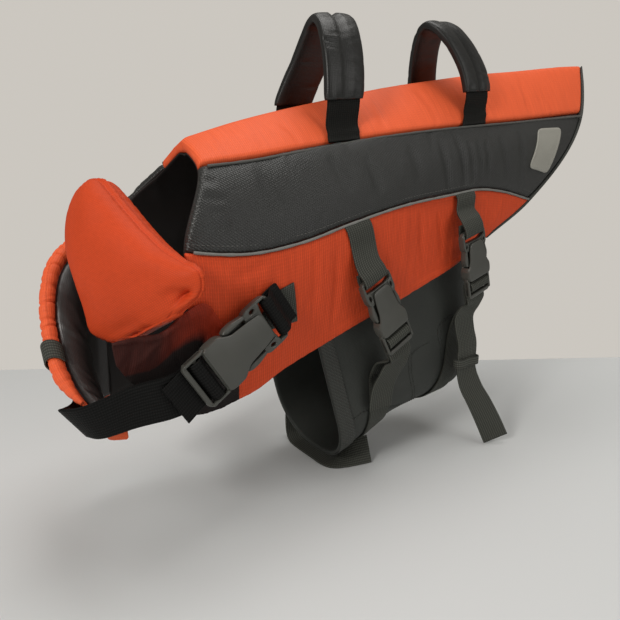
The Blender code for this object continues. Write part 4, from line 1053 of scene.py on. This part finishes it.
def rim_middle(s):
    """The middle line of the tube along the chest panel's front edge."""
    t = chest_t(s, np.full_like(s, RIM_RADIUS))
    return chest(s, t) - chest_out(s, t) * CLOTH / 2


def chest_rim():
    """Gathered tube of cloth along the panel's front edge."""
    s = np.linspace(0.012, RIM_END, 330)
    path = rim_middle(s)
    run = lengths(path)[:, None]
    a = circle(RIM_SIDES)[None, :]
    luck = np.random.default_rng(71)
    gathers = np.zeros((len(s), RIM_SIDES))
    place = 0.0
    while place < run[-1, 0]:
        place += luck.uniform(3.4, 9.0)
        lean = luck.uniform(-2.2, 2.2)
        middle = place + lean * np.sin(a + luck.uniform(0, 6.3))
        gathers -= luck.uniform(0.3, 1.0) * bell(run - middle, luck.uniform(0.9, 1.7))
    taper = np.minimum(1.0, 0.3 + 6 * (RIM_END - s))[:, None]
    made = ribbed("chest_rim", path, (RIM_RADIUS + 0.25 + gathers) * taper, "orange", sides=RIM_SIDES)


# Dents of the chin float: share of the way along, angle round it in degrees, size along and round, depth.
FLOAT_DENTS = [
    (0.84, 47, 0.04, 14, -7.5), (0.79, 60, 0.03, 10, -2.5), (0.55, 20, 0.05, 18, -0.9),
    (0.34, 60, 0.06, 20, -0.9), (0.66, 70, 0.05, 16, -0.9), (0.45, 100, 0.06, 22, -0.8),
    (0.25, 100, 0.06, 24, -0.7), (0.60, 130, 0.05, 20, -0.9), (0.82, 110, 0.04, 18, -1.0),
]


def turned_from(angle, start):
    """Angle from the start, between -180 and 180 degrees."""
    return (angle - start + 180) % 360 - 180


def chin_float():
    """Stuffed pillow through rounded sections across its length, sewn along its edges."""
    along, up = unit(FLOAT_ALONG), unit(FLOAT_UP)
    out = np.cross(along, up)
    places = np.linspace(0, 1, 120)
    a = circle(120)[None, :]
    place, low, high, thick, shift = curve(FLOAT_ROWS, places).T[..., None]
    across = squared(np.cos(a), 0.75) * (high - low) / 2
    depth = squared(np.sin(a), 0.85) * thick / 2
    middle = (np.array(FLOAT_ORIGIN) + along * place[..., None] + up * ((low + high) / 2)[..., None]
              + out * shift[..., None])
    rings = middle + up * across[..., None] + out * depth[..., None]
    round_it = np.roll(rings, -1, axis=1) - np.roll(rings, 1, axis=1)
    face = unit(np.cross(round_it, np.gradient(rings, axis=0)))
    if ((rings - rings.mean(axis=(0, 1))) * face).sum() < 0:
        face = -face
    share, angle = places[:, None], np.degrees(a)
    lift = np.zeros(rings.shape[:2])
    for at, turn, long, wide, deep in FLOAT_DENTS:
        off = turned_from(angle, turn)
        lift += deep * np.exp(-((share - at) / long) ** 2 - (off / wide) ** 2)
    width = (high - low) / 2 + thick / 2
    luck = np.random.default_rng(81)
    for edge in (0.0, 180.0):
        off = np.abs(turned_from(angle, edge)) / 57.3 * width * 0.6
        lift += 1.6 * bell(off, 1.2) - 1.0 * bell(off - 3.2, 1.4)
        at = 0.03
        while at < 0.97:
            at += luck.uniform(0.012, 0.04)
            lean = luck.uniform(-0.0012, 0.0012)
            deep, long, wide = luck.uniform(0.3, 0.8), luck.uniform(0.005, 0.011), luck.uniform(6, 15)
            lift -= deep * np.exp(-((share - at - lean * off) / long) ** 2 - (off / wide) ** 1.3)
    ends = np.minimum(share, 1 - share)
    for _ in range(40):
        turn, wide = luck.uniform(0, 360), luck.uniform(3, 7)
        off = turned_from(angle, turn)
        deep, reach = luck.uniform(0.7, 1.8), luck.uniform(0.03, 0.09)
        lift -= deep * np.exp(-((off / wide) ** 2) - (ends / reach) ** 1.5)
    lift += uneven(rings, 82, 14, 0.5)
    lift *= np.clip(ends / 0.012, 0, 1)
    made = tube("chin_float", rings + face * lift[..., None], "orange_float")


def float_flap():
    """Crinkled cloth below the float, outside the left side panel."""
    ts, rows = np.linspace(0, 1, cells(110, 1.4)), np.linspace(0, 1, cells(60, 1.4))
    top, low = curve(FLAP_TOP, ts), curve(FLAP_LOW, ts)
    spots = top[:, None] + (low - top)[:, None] * rows[None, :, None]
    x, z = spots[..., 0], spots[..., 1]
    lift = creases(x, z, wrinkles(91, 34, (-210, 105, -124, 185), (12, 40), (1.4, 3.0), (0.3, 1.0), 70, 45))
    lift += uneven(np.stack([x, 0 * x, z], axis=2), 92, 9, 0.5)
    lift += puckers(x, np.minimum(rows, 1 - rows)[None, :] * FLAP_DEEP, 93, 5.0, 0.9, 5.0)
    lift = np.clip(lift, -1.2, 1.8)
    hem = 1.4 * bell(rows[None, :] * FLAP_DEEP - 3.0, 2.6)
    outer, inner = GAP + 2.0 + lift + hem, GAP + 0.8 + (lift + hem) * 0.9
    # its cloth carries painted shade
    wall("float_flap", left_lift(x, z, outer), left_lift(x, z, inner), "orange_flap_shaded", held="gathered")


# ---------------------------------------------------------------- belly

def belly_panel():
    """Cloth round the belly; its unevenness goes inwards, so that the straps lie on it."""
    s, w = grid(np.linspace(0, 1, cells(140)), np.linspace(-1, 1, cells(400, 2.2)))
    plain, out = belly(s, w), belly_out(s, w)
    folds = wrinkles(102, 40, (0, 0, 140, 400), (14, 50), (2.0, 4.5), (0.15, 0.6), 60, 60)
    lift = np.minimum(uneven(plain, 101, 24, 0.5) + creases(*grid_lengths(plain), folds), 0.25)
    outer = plain + out * lift[..., None]
    inner = plain - out * (CLOTH - np.minimum(lift, 0) * 0.5)[..., None]
    wall("belly_panel", outer, inner, "charcoal", held="hung")


BINDING_END = 0.085  # s at which the tape along the front edge ends


def belly_binding():
    """Tape along the belly panel's front edge."""
    s, w = grid(np.linspace(0, BINDING_END, 9), np.linspace(-0.98, 0.98, cells(400, 2.0)))
    plain, out = belly(s, w), belly_out(s, w)
    lift = GAP + 1.0 - 0.35 * (s / BINDING_END * 2 - 1) ** 4 + 0.12 * uneven(plain, 111, 6, 1.0)
    wall("belly_binding", plain + out * lift[..., None], plain + out * GAP, "binding", held="laid")


# Double rows of stitches where the straps are sewn to the belly panel: s, w on its left side.
BELLY_SEAMS = [
    [(0.68, -0.671), (0.585, -0.667), (0.53, -0.653), (0.52, -0.58), (0.56, -0.422), (0.60, -0.30)],
    [(0.89, -0.734), (0.805, -0.734), (0.77, -0.72), (0.79, -0.608), (0.85, -0.429), (0.88, -0.30)],
    [(0.0, -0.531), (0.15, -0.531), (0.28, -0.45), (0.42, -0.353), (0.60, -0.28), (0.765, -0.24),
     (0.95, -0.2)],
]
SEAM_STEP = 0.022  # distance in s between the two rows of a seam


def belly_stitches():
    """The double rows, mirrored on the hidden right side."""
    runs = []
    for row in BELLY_SEAMS:
        for shift in (0.0, SEAM_STEP):
            spots = curve([(s + shift, w, 0) for s, w in row], np.linspace(0, 1, 80))
            for side in (LEFT, RIGHT):
                s, w = np.clip(spots[:, 0], 0.09, 0.99), -side * spots[:, 1]
                runs.append((belly(s, w) + belly_out(s, w) * 0.3, belly_out(s, w)))
    stitches("stitches_belly", runs, "binding")


# ---------------------------------------------------------------- buckles

# Lengths along a buckle: its ladder lock, and the bars and slots of it.
LADDER, END_BAR, SLOT, GRIP_BAR = 17.5, 3.5, 5.0, 3.0
MALE_BAR, MALE_SLOT = 3.5, 6.5  # the bar and the slot of the male half
BUCKLE_SHOULDER, SLOT_MORE = 2.9, 0.9  # how much wider than the webbing the body and the slots are, each side
BODY_WALL = 2.2  # wall beside the arms
WINDOW_START = 0.45  # share of the body at which the arms show
BUCKLES = {
    "neck": dict(web=NECK_WEB, body=37, length=76, ladder=(-166, -81, 132), male=(-101, -75, 171),
                 face=(-0.1, -1, 0.05)),
    "front": dict(web=BELLY_WEB, body=30, length=66, ladder=(16, -76, 125), male=(-11, -69, 187),
                  face=(0.1, -1, 0)),
    "rear": dict(web=BELLY_WEB, body=28, length=61, ladder=(118, -67, 153), male=(104, -66, 211),
                 face=(0.1, -1, 0)),
}


def buckle_frame(buckle):
    """Origin at the ladder end; Y towards the male end, Z out of the face, X across, in millimetres."""
    origin = np.array(buckle["ladder"], float)
    along = unit(np.array(buckle["male"]) - origin)
    face = np.array(buckle["face"], float)
    face = unit(face - face.dot(along) * along)
    return origin, np.cross(along, face), along, face


def in_frame(place, x, y, z):
    """The point at x, y, z of a buckle's frame."""
    origin, across, along, face = place
    return origin + across * x + along * y + face * z


def mirrored(half):
    """The outline of a plate, of which the points on one side of its middle are given."""
    return half + [(-x, y) for x, y in reversed(half)]


def soft_box(half, y0, y1, radius):
    """Rounded rectangle across the middle."""
    return soft_corners([(half, y0), (half, y1), (-half, y1), (-half, y0)], radius)


def oval(x, y, rx, ry, turn):
    """Outline of an oval hole, turned by that many degrees."""
    c, s = math.cos(math.radians(turn)), math.sin(math.radians(turn))
    return [(x + rx * math.cos(a) * c - ry * math.sin(a) * s, y + rx * math.cos(a) * s + ry * math.sin(a) * c)
            for a in circle(20)]


def soft_corners(points, radius):
    """The outline with its corners rounded."""
    made, count = [], len(points)
    for k in range(count):
        before, here, after = (np.array(points[(k + n) % count], float) for n in (-1, 0, 1))
        to_before, to_after = before - here, after - here
        cut = min(radius, 0.45 * np.linalg.norm(to_before), 0.45 * np.linalg.norm(to_after))
        a, b = here + unit(to_before) * cut, here + unit(to_after) * cut
        for t in np.linspace(0, 1, 5):
            made.append(tuple((1 - t) ** 2 * a + 2 * t * (1 - t) * here + t * t * b))
    return made


def moulding(outlines, low, high, bevel, place):
    """Moulded plate between two heights, with rounded edges: the first outline filled, the others open."""
    data = bpy.data.curves.new("outline", "CURVE")
    data.dimensions, data.fill_mode = "2D", "BOTH"
    data.extrude = ((high - low) / 2 - bevel) * MM
    data.bevel_depth, data.bevel_resolution, data.offset = bevel * MM, 2, -bevel * MM
    for points in outlines:
        line = data.splines.new("POLY")
        line.points.add(len(points) - 1)
        for spot, (x, y) in zip(line.points, points):
            spot.co = (x * MM, y * MM, 0, 1)
        line.use_cyclic_u = True
    flat = linked("outline", data)
    bpy.context.view_layer.update()
    mesh = bpy.data.meshes.new_from_object(flat.evaluated_get(bpy.context.evaluated_depsgraph_get()))
    bpy.data.objects.remove(flat)
    origin, across, along, face = place
    mesh.transform(pose(across, along, face, (origin + face * (low + high) / 2) * MM))
    return mesh


def joined(name, meshes):
    """One moulded object of several meshes."""
    cage = bmesh.new()
    for mesh in meshes:
        cage.from_mesh(mesh)
        bpy.data.meshes.remove(mesh)
    bmesh.ops.remove_doubles(cage, verts=cage.verts, dist=0.000004)
    bmesh.ops.recalc_face_normals(cage, faces=cage.faces)
    mesh = bpy.data.meshes.new(name)
    cage.to_mesh(mesh)
    cage.free()
    mesh.shade_smooth()
    mesh.set_sharp_from_angle(angle=math.radians(35))
    mesh.materials.append(plastic())
    own(name, mesh, [name])


def female_half(name, buckle, place):
    """Two face plates that narrow towards the male half, joined at the flanks, and a ladder lock."""
    half = buckle["web"] / 2 + BUCKLE_SHOULDER
    body, start = buckle["body"], LADDER - 0.5
    end, low = LADDER + body, LADDER + WINDOW_START * body
    tip = buckle["length"] - MALE_BAR - MALE_SLOT - 1
    face = [(0.42 * half, tip), (0.56 * half, tip - 2.2), (0.64 * half, end - 2), (0.70 * half, low + 5),
            (half - 2.6, low), (half - 0.2, low - 3.5), (half, start + 5), (half - 1.2, start)]
    face = soft_corners(mirrored(face), 2.2)
    parts = [moulding([face], bottom, top, 0.8, place) for bottom, top in ((2.7, 4.7), (-4.6, -2.7))]
    flank = [(half - BODY_WALL - 0.8, start + 0.6), (half, start + 2), (half + 0.1, low - 4),
             (half - 1.6, low - 0.6), (half - BODY_WALL - 1.2, low - 0.6)]
    rail = [(half - 2.1, 1.5), (half, 2.5), (half, LADDER), (half - 2.1, LADDER)]
    for side in (1, -1):
        for outline, radius, bottom, top, bevel in (flank, 1.4, -4.2, 4.2, 1.3), (rail, 0.9, -2.7, 2.9, 0.9):
            outline = soft_corners([(side * x, y) for x, y in outline], radius)
            parts.append(moulding([outline], bottom, top, bevel, place))
    parts.append(moulding([soft_box(half - 1, start + 0.2, LADDER + 4, 1.0)], -3.9, 3.9, 0.6, place))
    lock = soft_corners(mirrored([(half, LADDER + 2), (half, 2.5), (half - 2.5, 0)]), 2.0)
    slot_half = buckle["web"] / 2 + SLOT_MORE
    slots = [soft_box(slot_half, y, y + SLOT, 1.2) for y in (END_BAR, END_BAR + SLOT + GRIP_BAR)]
    parts.append(moulding([lock, *slots], -2.0, 2.0, 0.9, place))
    joined(name, parts)


def male_half(name, buckle, place):
    """Bar and shoulders with an oval hole each, two sprung arms with rounded finger pads, and a tongue."""
    half = buckle["web"] / 2 + BUCKLE_SHOULDER
    body, top = buckle["body"], buckle["length"]
    end, low = LADDER + body, LADDER + WINDOW_START * body
    slot_half, slot_top, slot_low = buckle["web"] / 2 + SLOT_MORE, top - MALE_BAR, top - MALE_BAR - MALE_SLOT
    frame_out = [(half - 2.5, top), (half, top - 3), (half, end + 3), (half - 1.5, end - 1.5)]
    slot = [(slot_half, slot_low + 1.6), (slot_half, slot_top), (-slot_half, slot_top),
            (-slot_half, slot_low + 1.6), (-0.55 * slot_half, slot_low + 0.2),
            (0.55 * slot_half, slot_low + 0.2)]
    tall = min(2.3, (slot_low - end) / 2 - 0.9)
    holes = [oval(side * (half - 3.4), (end + slot_low) / 2 + 0.2, 1.25, tall, side * -8) for side in (1, -1)]
    outlines = [soft_corners(mirrored(frame_out), 2.4), soft_corners(slot, 1.6), *holes]
    parts = [moulding(outlines, -2.2, 2.2, 0.9, place)]
    rail = [(half - 2.1, end + 1), (half + 0.1, end + 2), (half + 0.3, slot_low + 2), (half - 0.2, top - 3),
            (half - 2.1, top - 2)]
    shoulder = [(half, end + 1.5), (half, slot_low + 1.2), (slot_half - 1.4, slot_low + 1.2),
                (0.62 * half, slot_low - 0.6), (0.66 * half, end - 1.6), (half - 1.6, end - 1.6)]
    arm = [(0.76 * half, end + 1), (0.76 * half, low + 4.5), (0.84 * half, low + 0.9),
           (half - 1.4, low + 0.6), (half + 0.1, low + 4), (half + 0.2, (low + end) / 2),
           (half - 1.0, end - 3.4), (half - 1.9, end + 1)]
    for side, hole in zip((1, -1), holes):
        forms = (rail, 3.1, 0.9, []), (shoulder, 3.2, 0.8, [hole]), (arm, 3.2, 1.4, [])
        for outline, deep, bevel, more in forms:
            outline = soft_corners([(side * x, y) for x, y in outline], 1.5)
            parts.append(moulding([outline, *more], -deep, deep, bevel, place))
    parts.append(moulding([soft_box(3.2, end - 0.6 * body, end + 1, 1.4)], -1.8, 1.8, 0.6, place))
    joined(name, parts)


# Webbing through the ladder lock, in the buckle's frame: place along it, height off its middle.
LOADED = [
    (4, -6.3), (10, -5.9), (13, -4.4), (14, -2), (14, 0.5), (13, 2.6), (10, 3.5), (7.2, 2.6), (6.1, 0.5),
    (5.6, -1.6), (4.2, -3.1), (2, -3.4), (-3, -3.3),
]
# Webbing round the bar of the male half, measured from the male end.
ROUND_BAR = [
    (8, 1.3), (2, 3.5), (-1.75, 3.7), (-4.0, 3.4), (-5.3, 1.6), (-5.5, 0), (-5.3, -1.6), (-4.0, -3.4),
    (-1.75, -3.7), (2, -3.4), (6, -2.6),
]


def frame_path(place, rows, start=0.0):
    """Path through rows of place along a buckle, from the start, and height off its middle."""
    return [in_frame(place, 0, start + y, z) for y, z in rows], [place[1]] * len(rows)


# ---------------------------------------------------------------- straps

def u_at(side, x, v):
    """u of the shell's point at that x and v."""
    us = np.linspace(0, 1, 2001)
    return float(np.interp(x, shell(side, us, v)[:, 0], us))


def shell_path(side, rows, lift=1.7):
    """Path on the shell's lower panels through rows of x and v, with the direction across it."""
    points, across = [], []
    for x, v in rows:
        u = u_at(side, x, v)
        points.append(on_shell(side, u, v, lift))
        across.append(unit(shell(side, min(u + 0.02, 1), v) - shell(side, max(u - 0.02, 0), v)))
    return points, across


def belly_path(rows, lift=1.8):
    """Path under the belly panel through rows of w and x, with the direction across it."""
    points, across = [], []
    ss = np.linspace(0, 1, 801)
    for w, x in rows:
        s = float(np.interp(x, belly(ss, w)[:, 0], ss))
        points.append(belly(s, w) + belly_out(s, w) * lift)
        across.append(unit(belly(min(s + 0.05, 1), w) - belly(max(s - 0.05, 0), w)))
    return points, across


def free_path(rows, turns=None):
    """Path through points, with the direction across it at each: along X if none are given."""
    return rows, turns or [(1, 0, 0)] * len(rows)


def strap(name, pieces, width, cloth_name="web", **options):
    """Webbing along several stretches, end to end."""
    points, across = (np.array([row for piece in pieces for row in piece[k]], float) for k in (0, 1))
    webbing(name, points, across, width, cloth_name, **options)


STRAP_START, STRAP_END = 0.8, -0.66  # w at which the straps reach the belly panel and leave it


def belly_run(xs):
    """Rows of w and x round the belly, through evenly spaced x from the right side to the left."""
    ws = np.linspace(STRAP_START, STRAP_END, 25)
    places = np.interp(ws, np.linspace(STRAP_END, STRAP_START, len(xs)), xs[::-1])
    return list(zip(ws.tolist(), places.tolist()))


def front_straps():
    """The front belly strap: above its buckle, from there round the belly to the right side, and its end."""
    place = buckle_frame(BUCKLES["front"])
    strap("front_strap_upper", [
        shell_path(LEFT, [(-20.5, 2.0)], 0.6),
        shell_path(LEFT, [(-19, 2.06), (-17, 2.14), (-15, 2.24)]),
        frame_path(place, ROUND_BAR, BUCKLES["front"]["length"])], BELLY_WEB,
        rests_on=["side_panel_left", "front_buckle_male"])
    strap("front_strap_lower", [
        shell_path(RIGHT, [(-17, 2.06), (-15, 2.3), (-12, 2.55), (-8, 2.8), (-5, 2.94)]),
        free_path([(-1, 54.5, 131)]),
        belly_path(belly_run([4, 9, 14, 17, 19, 20, 20, 19, 18, 17, 16])),
        free_path([(15, -54.5, 96), (15.5, -61, 108)]),
        frame_path(place, [(-7, -6.4), *LOADED, (-8, -3.5)]),
        free_path([(17, -70.5, 109), (15, -66, 99), (13.5, -61, 88), (13, -58.5, 76), (14, -56.5, 64)])],
        BELLY_WEB, rests_on=["side_panel_right", "belly_panel", "front_buckle_female"])
    strap("belly_strap_end", [
        free_path([(6, 58, 54), (4, 58.5, 34), (2, 57, 14), (0, 52, 3.5), (-3, 43, 0.8), (-5, 26, 0.8),
                   (-5, 12, 0.8), (-5, -4, 0.8), (-5, -9.5, 0.8)]),
        free_path([(-3, -17, 3.8), (4, -21.5, 6.6), (13, -25.5, 9.4), (25, -30.5, 11.6)],
                    [(0.80, 0.5, 0.26), (0.5, 0.72, 0.45), (0.25, 0.70, 0.66), (0.15, 0.5, 0.86)])],
        BELLY_WEB, wave=0.0, held="laid", rests_on=["front_strap_lower"])


def rear_straps():
    """The rear belly strap in the same way; its loose end hangs from the buckle through the keeper."""
    place = buckle_frame(BUCKLES["rear"])
    strap("rear_strap_upper", [
        shell_path(LEFT, [(108, 2.0)], 0.8),
        shell_path(LEFT, [(108, 2.08), (107.5, 2.14), (107, 2.2)], 2.4),
        frame_path(place, ROUND_BAR, BUCKLES["rear"]["length"])], BELLY_WEB,
        rests_on=["side_panel_left", "rear_buckle_male"])
    loose = [(116.7, -60.5, 141), (113, -57.3, 131), (115, -57, 118), (117, -59.5, 104), (114.5, -62, 93),
             (113.5, -62.5, 85), (119.5, -64, 64), (130, -67.5, 45), (139, -72, 26), (147, -77, 6)]
    turned = [(1, 0, 0)] * 6
    turned += [(0.97, -0.15, 0.1), (0.93, -0.25, 0.2), (0.88, -0.35, 0.3), (0.82, -0.45, 0.36)]
    strap("rear_strap_lower", [
        shell_path(RIGHT, [(110, 2.08), (109, 2.35), (108, 2.65), (107, 2.9)]),
        free_path([(106, 50.5, 165)]),
        belly_path(belly_run([103, 103, 102, 102, 101, 101, 102, 104, 107, 111, 116])),
        free_path([(118.5, -49, 126), (120, -54, 137)]),
        frame_path(place, [(-7, -6.6), *LOADED, (-6, -3.3)]),
        free_path(loose, turned)], BELLY_WEB, with_pieces=[rear_keeper()],
        rests_on=["side_panel_right", "belly_panel", "rear_buckle_female"])


KEEPER = (113.9, -62.4, 88.0)  # middle of the keeper, which is an open ring round the loose end: its x and y
KEEPER_RING = [(-14, 3.2), (-14.4, -1.2), (-13.4, -2.3), (0, -2.4), (13.4, -2.3), (14.4, -1.2), (14, 3.2)]


def rear_keeper():
    points = [(KEEPER[0] + x, KEEPER[1] + y, KEEPER[2]) for x, y in KEEPER_RING]
    across = [(0, 0, 1.0)] * len(points)
    return webbing("rear_keeper", points, across, 8, "web", thick=1.2, step=0.8, wave=0.0, held=None)


# Neck strap from the chest's corner to the buckle: its upper and its lower edge.
NECK_STRAP = [
    ((-240, -55, 128), (-225, -49, 103)), ((-233, -62, 130), (-221, -55, 103)),
    ((-221, -67, 134.5), (-214, -61, 105.5)), ((-203, -71, 140), (-202, -68, 110)),
    ((-187, -76, 143), (-182, -75, 113)),
]


def neck_strap():
    """Webbing across the chest panel, round its corner and through the neck buckle."""
    s = np.linspace(0.56, 0.74, 7)
    above, below = (chest(s, chest_t(s, 2 * RIM_RADIUS + edge)) for edge in (7.0, 7.0 + NECK_WEB))
    edges = [row[0] + row[1] for row in NECK_STRAP]
    upper, lower = curve(edges, np.linspace(0, 1, 9)).reshape(-1, 2, 3).swapaxes(0, 1)
    strap("neck_strap", [
        ((above + below) / 2 + chest_out(s, 0.5) * 4.1, unit(below - above)),
        ((upper + lower) / 2, unit(lower - upper)),
        frame_path(buckle_frame(BUCKLES["neck"]), [*LOADED, (-8, -2.6), (-16, -1.2)])], NECK_WEB, "neck_web",
        rests_on=["chest_panel", "neck_buckle_female"])


NECK_PATCH = [(-103, 180), (-80, 188), (-75, 158), (-108, 155)]  # its corners: x, height


def neck_patch():
    """Square of webbing sewn flat on the left side panel, behind the neck loop."""
    a, b, c, d = np.array(NECK_PATCH, float)
    i, j = (k[..., None] for k in grid(np.linspace(0, 1, 20), np.linspace(0, 1, 20)))
    x, z = np.moveaxis((a + (b - a) * i) * (1 - j) + (d + (c - d) * i) * j, 2, 0)
    wall("neck_patch", left_lift(x, z, GAP + 1.4), left_lift(x, z, GAP), "web", held="laid")


def neck_loop():
    """Webbing from the neck patch round the bar of the buckle's male half and back."""
    place = buckle_frame(BUCKLES["neck"])
    top = BUCKLES["neck"]["length"]

    def above_patch(y, lift):
        spot = in_frame(place, 0, y, 0)
        return y - top, float((left_lift(spot[0], spot[2], 0.0) - spot).dot(place[3])) + lift

    rows = [above_patch(top + 14, 3.8), above_patch(top + 9, 3.9), above_patch(top + 4.5, 4.6), (1.5, -5.4),
            *ROUND_BAR[8:1:-1], (0.5, 3.2), (3.5, 0.4), above_patch(top + 8, 6.6), above_patch(top + 11, 5.7),
            above_patch(top + 14, 5.5)]
    points, across = frame_path(place, rows, top)
    webbing("neck_loop", points, across, NECK_WEB, "neck_web", wave=0.0, step=1.0,
            rests_on=["neck_patch", "neck_buckle_male"])


KEEPER_S = 0.63  # where on the rim the strap keeper is


def strap_keeper():
    """Short webbing over the chest rim, holding the neck strap's start."""
    rim = rim_middle(np.array([KEEPER_S]))[0]
    away, out = unit(chest(KEEPER_S, 0.0) - chest(KEEPER_S, 0.1)), chest_out(KEEPER_S, 0.0)
    reach = RIM_RADIUS + 0.4 + GAP + 1.3
    along = unit(chest(KEEPER_S + 0.02, 0.0) - chest(KEEPER_S - 0.02, 0.0))
    turns = np.radians(np.linspace(118, -108, 11))
    points = [rim + reach * (math.cos(a) * away + math.sin(a) * out) for a in turns]
    webbing("strap_keeper", points, [along] * 11, 14, "web", thick=1.2, step=1.0, wave=0.0, held="folded",
            rests_on=["chest_rim"])


# ---------------------------------------------------------------- handles

HANDLE_FOOT = [(1.03, 0.9), (0.97, 1.2), (0.88, 2.4), (0.78, 2.6)]  # v and lift of the webbing at its feet


def handle_path(handle):
    """The webbing's middle line, from the left foot over the top to the right foot."""
    left, right = ([on_shell(side, u_at(side, x, 0.9), v, lift) for v, lift in HANDLE_FOOT]
                   for side, x in zip((LEFT, RIGHT), handle["feet"]))
    return curve([*left, *handle["loop"], *right[::-1]], np.linspace(0, 1, HANDLE_STEPS + 1))


SLEEVE_HALF, SLEEVE_THICK, SLEEVE_SIDES = 18.5, 4.6, 56
BORE_HALF, BORE_THICK = 16.6, 1.7
HANDLE_STEPS = 156


def handles():
    """Two carrying handles: a loop of webbing and its padded sleeve each."""
    for which, handle in HANDLES.items():
        path = handle_path(handle)
        rises = np.sin(np.linspace(0, math.pi, HANDLE_STEPS + 1))
        rough = [(1, handle["turn"] * k - 0.05 * (1 - k) * np.sign(p[1]), 0.08) for p, k in zip(path, rises)]
        side, normal = ribbon_frames(path, np.array(rough))
        rings = swept(path, side, normal, flat_section(HANDLE_WEB / 2, WEB_THICK / 2))
        web = tube(which + "_handle_web", rings, "handle_web")
        handle_sleeve(which + "_handle_sleeve", path, side, normal)


def handle_sleeve(name, path, side, normal):
    """Padded tube with an open bore, a seam along its middle and folded mouths."""
    first, last = (round(share * HANDLE_STEPS) for share in SLEEVE_SHARE)
    rows = np.concatenate([path, side, normal], axis=1)[first:last + 1]
    run = lengths(rows[:, :3])
    fine = np.linspace(0, run[-1], cells(run[-1], 1.3))
    rows = resampled(fine, run, rows)
    path, side, normal = rows[:, :3], unit(rows[:, 3:6]), unit(rows[:, 6:])
    sides = SLEEVE_SIDES
    a = circle(sides)
    x = squared(np.cos(a), 0.62) * SLEEVE_HALF
    z = squared(np.sin(a), 0.55) * SLEEVE_THICK
    groove = 2.4 * bell(x, 1.7) * (z < 0)
    from_mouth = np.minimum(fine, fine[-1] - fine)[:, None]
    mouth = 1 - 0.26 * np.exp(-from_mouth / 2.2)
    luck = np.random.default_rng(sum(map(ord, name)))
    folds = np.zeros((len(fine), sides))
    for _ in range(34):
        at, where, wide = luck.uniform(0, fine[-1]), luck.uniform(-16, 16), luck.uniform(1.0, 2.6)
        reach, face = luck.uniform(4, 14), luck.choice([-1, 1])
        lean = luck.uniform(-0.4, 0.4)
        off = (((fine[:, None] - at) - lean * (x - where)) / wide) ** 2
        folds -= luck.uniform(0.2, 0.7) * np.exp(-off - ((x - where) / reach) ** 2) * (face * z > -1)
    folds += 0.8 * np.sin(x / 2.2 + luck.uniform(0, 6)) * np.exp(-from_mouth / 5.0)
    face = np.sign(z)
    z_all = (z - face * groove) * mouth + face * folds
    z_all = face * np.maximum(np.abs(z_all), (BORE_THICK + 0.5) * (np.abs(x) < BORE_HALF))
    x_all = x * (1 - 0.02 * np.exp(-from_mouth / 3.0))
    outer = swept(path, side, normal, np.stack([x_all, z_all], axis=2))
    bore_x = np.clip(x, -BORE_HALF, BORE_HALF)
    bore_z = np.where(np.abs(z) < BORE_THICK, z, np.sign(z) * BORE_THICK)
    inner = swept(path, side, normal, np.stack([bore_x, bore_z], axis=1))
    rows = len(fine)
    verts = np.concatenate([outer.reshape(-1, 3), inner.reshape(-1, 3)])
    around = lengths(np.stack([x, z], axis=1))
    uv = np.tile(np.stack(np.broadcast_arrays(around[None, :], fine[:, None]), axis=2).reshape(-1, 2), (2, 1))
    skin = skin_faces(rows, sides)
    within = rows * sides
    faces = skin.tolist() + (skin[:, ::-1] + within).tolist()
    for first, turn in ((0, 1), ((rows - 1) * sides, -1)):
        for j in range(sides):
            k = (j + 1) % sides
            faces.append([first + k, first + j, within + first + j, within + first + k][::turn])
    made = build(name, verts, faces, uv, "sleeve", [name])


# ---------------------------------------------------------------- assembly

top_panel()
lining()
rear_binding()
for side, suffix in ((LEFT, "left"), (RIGHT, "right")):
    side_piece(side, suffix, 1)
    side_piece(side, suffix, 2)
    piping("piping_top_" + suffix, side, 1)
    piping("piping_low_" + suffix, side, 2)
    band_stitches(side, suffix)
    reflective_patch(side, suffix)
chest_panel()
chest_lining()
chest_rim()
chin_float()
float_flap()
belly_panel()
belly_binding()
belly_stitches()
front_straps()
rear_straps()
neck_strap()
neck_patch()
neck_loop()
strap_keeper()
for key, buckle in BUCKLES.items():
    female_half(key + "_buckle_female", buckle, buckle_frame(buckle))
    male_half(key + "_buckle_male", buckle, buckle_frame(buckle))
handles()

camera()
surroundings()
